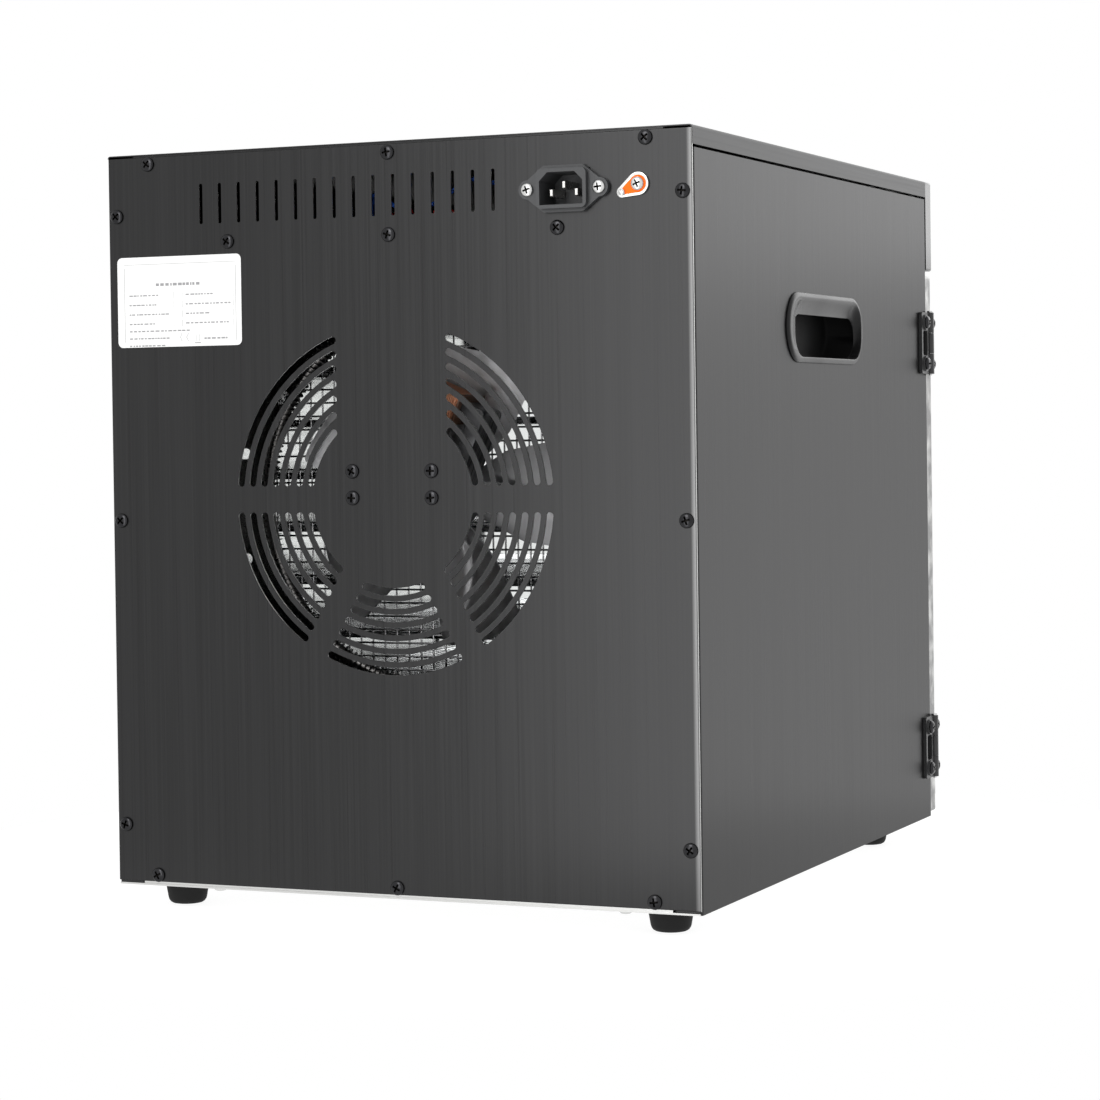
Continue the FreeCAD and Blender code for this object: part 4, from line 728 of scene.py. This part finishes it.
def make_coil():
    """Copper winding around the stator's upper yoke, between two thin dark brown cheeks that are painted
    shade over the coil's end faces.
    """
    tilt = Matrix.Translation(FAN_AXIS) @ Matrix.Rotation(math.radians(-22), 4, "Y")
    wire = 0.55
    cheek = 1.2
    half = 14.0
    shape = Shape()

    def turn_loop(x, inset, radius):
        flat = rounded_loop(182 + inset, 213 - inset, 48 + inset, 64.5 - inset, 0, radius, 4)
        return [(x, y, z) for y, z, _ in flat]

    def hollow(x0, x1, inset, radius, slot):
        inner = [(y, z) for y, z, _ in rounded_loop(186, 209, 52, 60.5, 0, 0.5, 4)]
        loops = [[(x0, y, z) for y, z in inner], turn_loop(x0, inset, radius), turn_loop(x1, inset, radius)]
        loops.append([(x1, y, z) for y, z in inner])
        count = len(inner)
        points = [point for loop in loops for point in loop]
        faces = []
        for row in range(4):
            a = row * count
            b = ((row + 1) % 4) * count
            for index in range(count):
                after = (index + 1) % count
                faces.append((a + index, a + after, b + after, b + index))
        shape.add(points, faces, slot)

    # Dark brown cheeks over the winding's ends: painted shade on the end faces.
    hollow(-half, -half + cheek, 0, 2, 1)
    hollow(half - cheek, half, 0, 2, 1)
    hollow(-half + cheek, half - cheek, 1.6, 2, 0)
    path = []
    x = -half + cheek + wire
    loop = turn_loop(0, 1.2, 2.4)
    while x < half - cheek - wire:
        for index, (_, y, z) in enumerate(loop):
            path.append((x + 2 * wire * index / len(loop), y, z))
        x += 2 * wire
    shape.tube(path, wire, sides=6, closed=False)
    shape.points = [tilt @ point for point in shape.points]
    coil = shape.piece("wound_coil", copper.material, end_cheek_shade.material, smooth=50)
    settle(coil, "cabinet", "motor_coil")


make_fan()
make_guard()
make_heater()
make_coil()


# ---------------------------------------------------------------- screws
HEAD = [(1.9, 0), (3.3, 0), (3.5, 0.22), (3.5, 0.62)]
HEAD += [(3.36, 1.05), (3.0, 1.45), (2.35, 1.8), (1.4, 2.03), (0, 2.1)]
CASING_HEAD_GIRTH = 1.12   # the casing's own screws have wider heads


def in_recess(point):
    """Whether a point on a screw lies inside its driver recess."""
    radius = math.hypot(point.x, point.y)
    if radius > 2.3 or point.z < 0.2:
        return False
    dome = HEAD[4:]
    for (outer, low), (inner, high) in zip(dome, dome[1:]):
        if inner <= radius <= outer:
            return point.z < low + (high - low) * (outer - radius) / (outer - inner) - 0.12
    return False


def screw_shape(length):
    """Pan-head screw along +Z with its seat at 0 and a tapered cross recess."""
    thread = [(0, -length), (1.1, -length + 0.1), (1.5, -length + 0.7)]
    z = -length + 0.9
    while z < -1.4:
        thread += [(1.88, z), (1.5, z + 0.32)]
        z += 0.62
    solid = Shape()
    solid.lathe(thread + [(1.7, -1.0), (1.9, -0.4)] + HEAD, (0, 0, 0), Z_AXIS, 48)
    head = solid.piece("screw_blank")
    for turn in (0, 90):
        cutter = Shape()
        loops = []
        for reach, half, z in ((0.9, 0.3, 0.25), (1.8, 0.42, 0.9), (2.25, 0.52, 2.4)):
            loops.append([(-reach, -half, z), (reach, -half, z), (reach, half, z), (-reach, half, z)])
        cutter.loft(loops)
        tool = cutter.piece("recess_tool")
        tool.rotation_euler.z = math.radians(turn)
        cut = head.modifiers.new("recess", "BOOLEAN")
        cut.operation = "DIFFERENCE"
        cut.solver = "EXACT"
        cut.object = tool
    bpy.context.view_layer.update()
    carved = bpy.data.meshes.new_from_object(head.evaluated_get(bpy.context.evaluated_depsgraph_get()))
    faces = [tuple(face.vertices) for face in carved.polygons]
    result = Shape()
    result.add([vertex.co / MM for vertex in carved.vertices], faces)
    result.face_slots = [int(in_recess(face.center / MM)) for face in carved.polygons]
    for thing in [head] + [cut.object for cut in head.modifiers]:
        bpy.data.objects.remove(thing)
    return result


SCREWS = {length: screw_shape(length) for length in (4, 7, 8, 10, 15)}
turner = random.Random(11)


def screw_set(name, node, body, finish, places, girth=1.0):
    """All screws of one CAD node, each turned to where its driver happened to leave it."""
    shape = Shape()
    widen = Matrix.Diagonal((girth, girth, 1, 1))
    for place, direction, length in places:
        face = Z_AXIS.rotation_difference(Vector(direction)).to_matrix().to_4x4()
        turn = Matrix.Rotation(turner.uniform(0, math.pi / 2), 4, "Z")
        shape.copy(SCREWS[length], Matrix.Translation(place) @ face @ turn @ widen)
    settle(shape.piece(name, finish.material, recess_shade.material, smooth=30), body, node)


REAR = 222.5
OUT = (0, 1, 0)
LEFT = (-1, 0, 0)
CASING_EDGES = [(147, 410), (167, 382), (97.5, 366), (167, 214.4), (167, 46.3), (147, 19)]
casing = [((side * x, REAR, z), OUT, 7) for x, z in CASING_EDGES for side in (-1, 1)]
casing += [((0, REAR, z), OUT, 7) for z in (409.5, 366, 19)]
casing += [((x, REAR, z), OUT, 7) for x in (-23.4, 23.4) for z in (226.5, 240.7)]
HINGE_CENTRES = (57.4, 313.0)
casing += [((-175.8, -181.5, z + up), LEFT, 7) for z in HINGE_CENTRES for up in (-13, 13)]
screw_set(
    "casing_screws", "black_screws", "cabinet", black_oxide, casing, CASING_HEAD_GIRTH
)
bright = [((-102.2 + x, REAR + 3, 385.7), OUT, 10) for x in (-20, 20)]
bright.append(((-143, REAR + 1.6, 386.5), OUT, 7))
bright += [((x, y, 13), (0, 0, -1), 4) for x in (-128, 112) for y in (-162.5, 215.5)]
screw_set("zinc_screws", "bright_screws", "cabinet", bright_zinc, bright)
door = [((157, -196.5, z), OUT, 15) for z in (119, 251)]
door += [((-173.6, -200.1, z + up), LEFT, 8) for z in HINGE_CENTRES for up in (-13, 13)]
screw_set("door_side_screws", "door_screws", "door", black_oxide, door)


# ---------------------------------------------------------------- feet, handles, lug and label
def make_feet():
    """Tapered rubber feet with a rounded sole and a screw recess."""
    profile = [(0, 13), (12.1, 13), (12.25, 12.7), (12.15, 11.8), (10.75, 3.4), (10.3, 2.0)]
    profile += [(9.5, 0.9), (8.4, 0.25), (7.2, 0), (4.6, 0), (4.0, 0.5), (3.8, 3.5), (0, 3.5)]
    shape = Shape()
    for x in (-145, 145):
        for y in (-146, 195):
            shape.lathe(profile, (x, y, 0), Z_AXIS, 64)
    settle(shape.piece("tapered_feet", rubber.material, smooth=30), "cabinet", "rubber_feet")


def make_grips():
    """Recessed carry handles: domed flange, hooded mouth and pocket, as one skin from back to floor, the
    pocket in a darker copy of the grip plastic as painted shade.
    """
    side_x = 172.5
    whole = (-54.3, 80.7, 297.0, 336.4)
    mouth = (-49.0, 61.4, 300.8, 324.4)

    def inset(amount):
        """Outline of the whole handle drawn in by an amount."""
        y0, y1, z0, z1 = whole
        return (y0 + amount, y1 - amount, z0 + amount, z1 - amount, 19.6 - amount)

    def flared(share):
        """Outline of the mouth, from its own size at 0 to the flange's lip at 1."""
        y0, y1, z0, z1 = mouth
        return (y0 - share, y1 + 9 * share, z0 - 0.6 * share, z1 + 8.5 * share, 11 + 3 * share)

    steps = [(-22.5, inset(3)), (-21.6, inset(2.2)), (0, inset(2)), (0, inset(0.1)), (0.4, inset(0))]
    steps += [(0.8, inset(0.1)), (1.3, inset(0.5)), (1.7, inset(1.2)), (1.95, inset(2.0)), (2.0, inset(2.8))]
    for index in range(9):
        share = 1 - index / 8
        depth = 1.85 - 4.6 * (1 - share**1.7)
        steps.append((depth, flared(share)))
    pocket = [(-3.1, flared(-0.02)), (-3.3, inset(3.8)), (-19, inset(3.8))]
    pocket += [(-20.4, inset(5.2)), (-20.6, inset(7))]
    steps += pocket
    for node, side in (("left_handle", -1), ("right_handle", 1)):
        shape = Shape()
        loops = []
        for out, (y0, y1, z0, z1, radius) in steps:
            flat = rounded_loop(y0, y1, z0, z1, 0, radius, 12)
            loop = [(side * (side_x + out), y, z) for y, z, _ in flat]
            loops.append(loop if side > 0 else loop[::-1])
        # Pocket rows take the darker plastic, painted shade inside the recess.
        shape.loft(loops, inner_from=len(loops) - len(pocket) - 1)
        grip = shape.piece(f"{node}_cup", grip_plastic.material, pocket_shade_plastic.material, smooth=50)
        settle(grip, "cabinet", node)


def make_lug():
    """Pear-shaped earth terminal with a raised bright rim around an orange film."""
    big = (-143.0, 386.5, 6.0)
    small = (-134.3, 382.5, 2.9)

    def pear(y, inset):
        dx = small[0] - big[0]
        dz = small[1] - big[1]
        lean = math.atan2(dz, dx)
        spread = math.acos((big[2] - small[2]) / math.hypot(dx, dz))
        loop = []
        for cx, cz, radius, start, end in (
            (small[0], small[1], small[2] - inset, lean - spread, lean + spread),
            (big[0], big[1], big[2] - inset, lean + spread, lean + 2 * math.pi - spread),
        ):
            for step in range(25):
                angle = start + (end - start) * step / 24
                loop.append((cx + radius * math.cos(angle), y, cz + radius * math.sin(angle)))
        return loop[::-1]

    shape = Shape()
    plate = [(0, 0.2), (0.3, 0), (1.2, 0), (1.5, 0.15), (1.6, 0.45), (1.6, 1.0), (1.35, 1.2), (1.3, 1.6)]
    shape.loft([pear(REAR + out, inset) for out, inset in plate])
    film = Shape()
    film.loft([pear(REAR + 1.31, 1.45), pear(REAR + 1.44, 1.5)])
    shape.copy(film, Matrix.Identity(4), 1)
    rivet = [(0, 0), (1.9, 0), (1.9, 2.2), (1.7, 2.6), (1.3, 2.8), (1.0, 2.5), (0.8, 1.9), (0, 1.9)]
    shape.lathe(rivet, (small[0], REAR, small[1]), Y_AXIS, 32)
    lug = shape.piece("earth_terminal", bright_zinc.material, orange_film.material, smooth=30)
    settle(lug, "cabinet", "earth_lug")


def make_label_print():
    """Generic ruled table on the rating label: frame, rows of short dashes and small marks."""
    writer = random.Random(5)
    y0 = REAR + 0.15
    y1 = y0 + 0.02
    centre = (128.4, 334.5)
    shape = Shape()

    def ink(u0, u1, v0, v1):
        """Bar in label coordinates, u to the reader's right and v up."""
        shape.block((centre[0] - u1, y0, centre[1] + v0), (centre[0] - u0, y1, centre[1] + v1))

    def words(u0, u1, v, height):
        u = u0
        while u < u1 - 0.8:
            width = min(writer.uniform(0.9, 2.6), u1 - u)
            ink(u, u + width, v - height / 2, v + height / 2)
            u += width + writer.uniform(0.35, 1.0)

    for u in (-34.6, 35.4):
        ink(u, u + 0.25, -22.0, 18.8)
    ink(-34.6, 35.6, 20.6, 20.8)
    words(-14.5, 13.5, 9.4, 1.5)
    for row in range(4):
        v = 3.6 - 5.2 * row
        words(-31.5, -31.5 + (20, 18, 26, 17)[row], v, 0.7)
        words(4.2, 4.2 + (17, 28, 15, 27)[row], v, 0.75)
        ink(-3.4, -3.25, v - 1.8, v + 1.8)
        ink(1.9, 2.1, v - 1.8, v + 1.8)
        ink(33.9, 34.05, v - 1.8, v + 1.8)
    for row, reach in enumerate((38, 26, 23)):
        words(-31.5, -31.5 + reach, -17.2 - 4.0 * row + 1.2, 0.75)
    for u in (0.4, 4.4):
        for step in range(5):
            left = u + abs(step - 2) * 0.45
            ink(left, left + 0.3, -22 + step * 0.9, -21.1 + step * 0.9)
    ink(9.6, 13.4, -23.2, -22.7)
    ink(10.4, 10.6, -22, -18.4)
    ink(12.4, 12.6, -22, -18.4)
    words(15.6, 30.5, -20.6, 0.9)
    settle(shape.piece("label_print", label_ink.material), "cabinet", None)


def make_symbols():
    """Raised generic symbols on the four buttons."""
    y0 = -206.46
    y1 = -206.58
    z = 387.0

    def symbol(name, body, bars, arc=False):
        shape = Shape()
        for x0, x1, z0, z1 in bars:
            shape.block((x0, y1, z + z0), (x1, y0, z + z1))
        if arc:
            path = []
            for step in range(25):
                angle = math.radians(125 + 290 * step / 24)
                path.append((-112 + 2.4 * math.cos(angle), y0, z + 2.4 * math.sin(angle)))
            shape.tube(path, 0.14, sides=6, closed=False)
        settle(shape.piece(name, symbol_ink.material), body, None)

    symbol("power_symbol", "power_key", [(-112.18, -111.82, 0.4, 3.0)], arc=True)
    start_bars = [(x, x + 0.5, -1.8, 1.8) for x in (-82.0, -80.4, -79.0)]
    symbol("start_symbol", "start_key", start_bars)
    symbol("minus_symbol", "minus_key", [(77.8, 82.2, -0.25, 0.25)])
    plus_bars = [(109.8, 114.2, -0.25, 0.25), (111.75, 112.25, -2.2, -0.25), (111.75, 112.25, 0.25, 2.2)]
    symbol("plus_symbol", "plus_key", plus_bars)


make_feet()
make_grips()
make_lug()
make_label_print()
make_symbols()


# ---------------------------------------------------------------- camera, light and floor
def add_camera():
    """Rear three-quarter view from slightly above the middle of the cabinet."""
    camera = bpy.data.cameras.new("camera")
    camera.lens = 97.4
    camera.sensor_width = 36
    camera.shift_y = -0.0608
    camera.clip_end = 50
    thing = bpy.data.objects.new("camera", camera)
    bpy.context.scene.collection.objects.link(thing)
    forward = Vector((0.39993, -0.91636, -0.01818)).normalized()
    right = Vector((-0.91653, -0.39974, -0.01335)).normalized()
    up = right.cross(forward).normalized()
    turn = Matrix((right, up, -forward)).transposed()
    thing.matrix_world = Matrix.Translation((-0.7081, 1.6354, 0.2619)) @ turn.to_4x4()
    bpy.context.scene.camera = thing


def area_light(name, place, target, size, power):
    """Softbox that faces a target and stays out of the camera's sight."""
    light = bpy.data.lights.new(name, "AREA")
    light.shape = "RECTANGLE"
    light.size, light.size_y = size
    light.energy = power
    thing = bpy.data.objects.new(name, light)
    bpy.context.scene.collection.objects.link(thing)
    thing.location = place
    thing.rotation_euler = (Vector(target) - Vector(place)).to_track_quat("-Z", "Y").to_euler()
    thing.visible_camera = False


def add_floor():
    """Plain white round floor, lit from within like a light table."""
    shape = Shape()
    profile = [(0, -6), (418, -6), (420, -4), (420, -2), (418, 0), (0, 0)]
    shape.lathe(profile, (0, 0, 0), Z_AXIS, 96)
    paint = printed("floor_paint", (0.15, 0.15, 0.15), 0.8)
    paint.shader.inputs["Emission Color"].default_value = (1, 1, 1, 1)
    paint.shader.inputs["Emission Strength"].default_value = 0.9
    shape.piece("floor", paint.material)


def add_world():
    """Even white surroundings."""
    world = bpy.data.worlds.new("studio")
    world.use_nodes = True
    background = world.node_tree.nodes["Background"]
    background.inputs["Color"].default_value = (1, 1, 1, 1)
    background.inputs["Strength"].default_value = 1.0
    bpy.context.scene.world = world


add_camera()
add_world()
add_floor()
# No two softboxes share a plane: where two do, the renderer counts only one of them in reflections.
area_light("rear_strip", (0.03, 0.87, 0.30), (0.03, 0.2, 0.30), (0.30, 2.0), 4.0)
area_light("rear_top_softbox", (0.10, 1.20, 0.95), (0.05, 0.16, 0.25), (0.6, 0.5), 2.8)
area_light("side_softbox", (-0.64, -1.36, 0.75), (-0.64, 0.0, 0.75), (1.2, 2.5), 1.9)
area_light("side_top_softbox", (-0.64, -1.30, 1.21), (-0.64, 0.0, 1.21), (1.2, 1.58), 7.0)
area_light("side_rear_softbox", (-1.11, -1.42, 0.4), (-1.11, 0.0, 0.4), (0.98, 2.0), 4.6)
bpy.context.scene.view_settings.view_transform = "Standard"
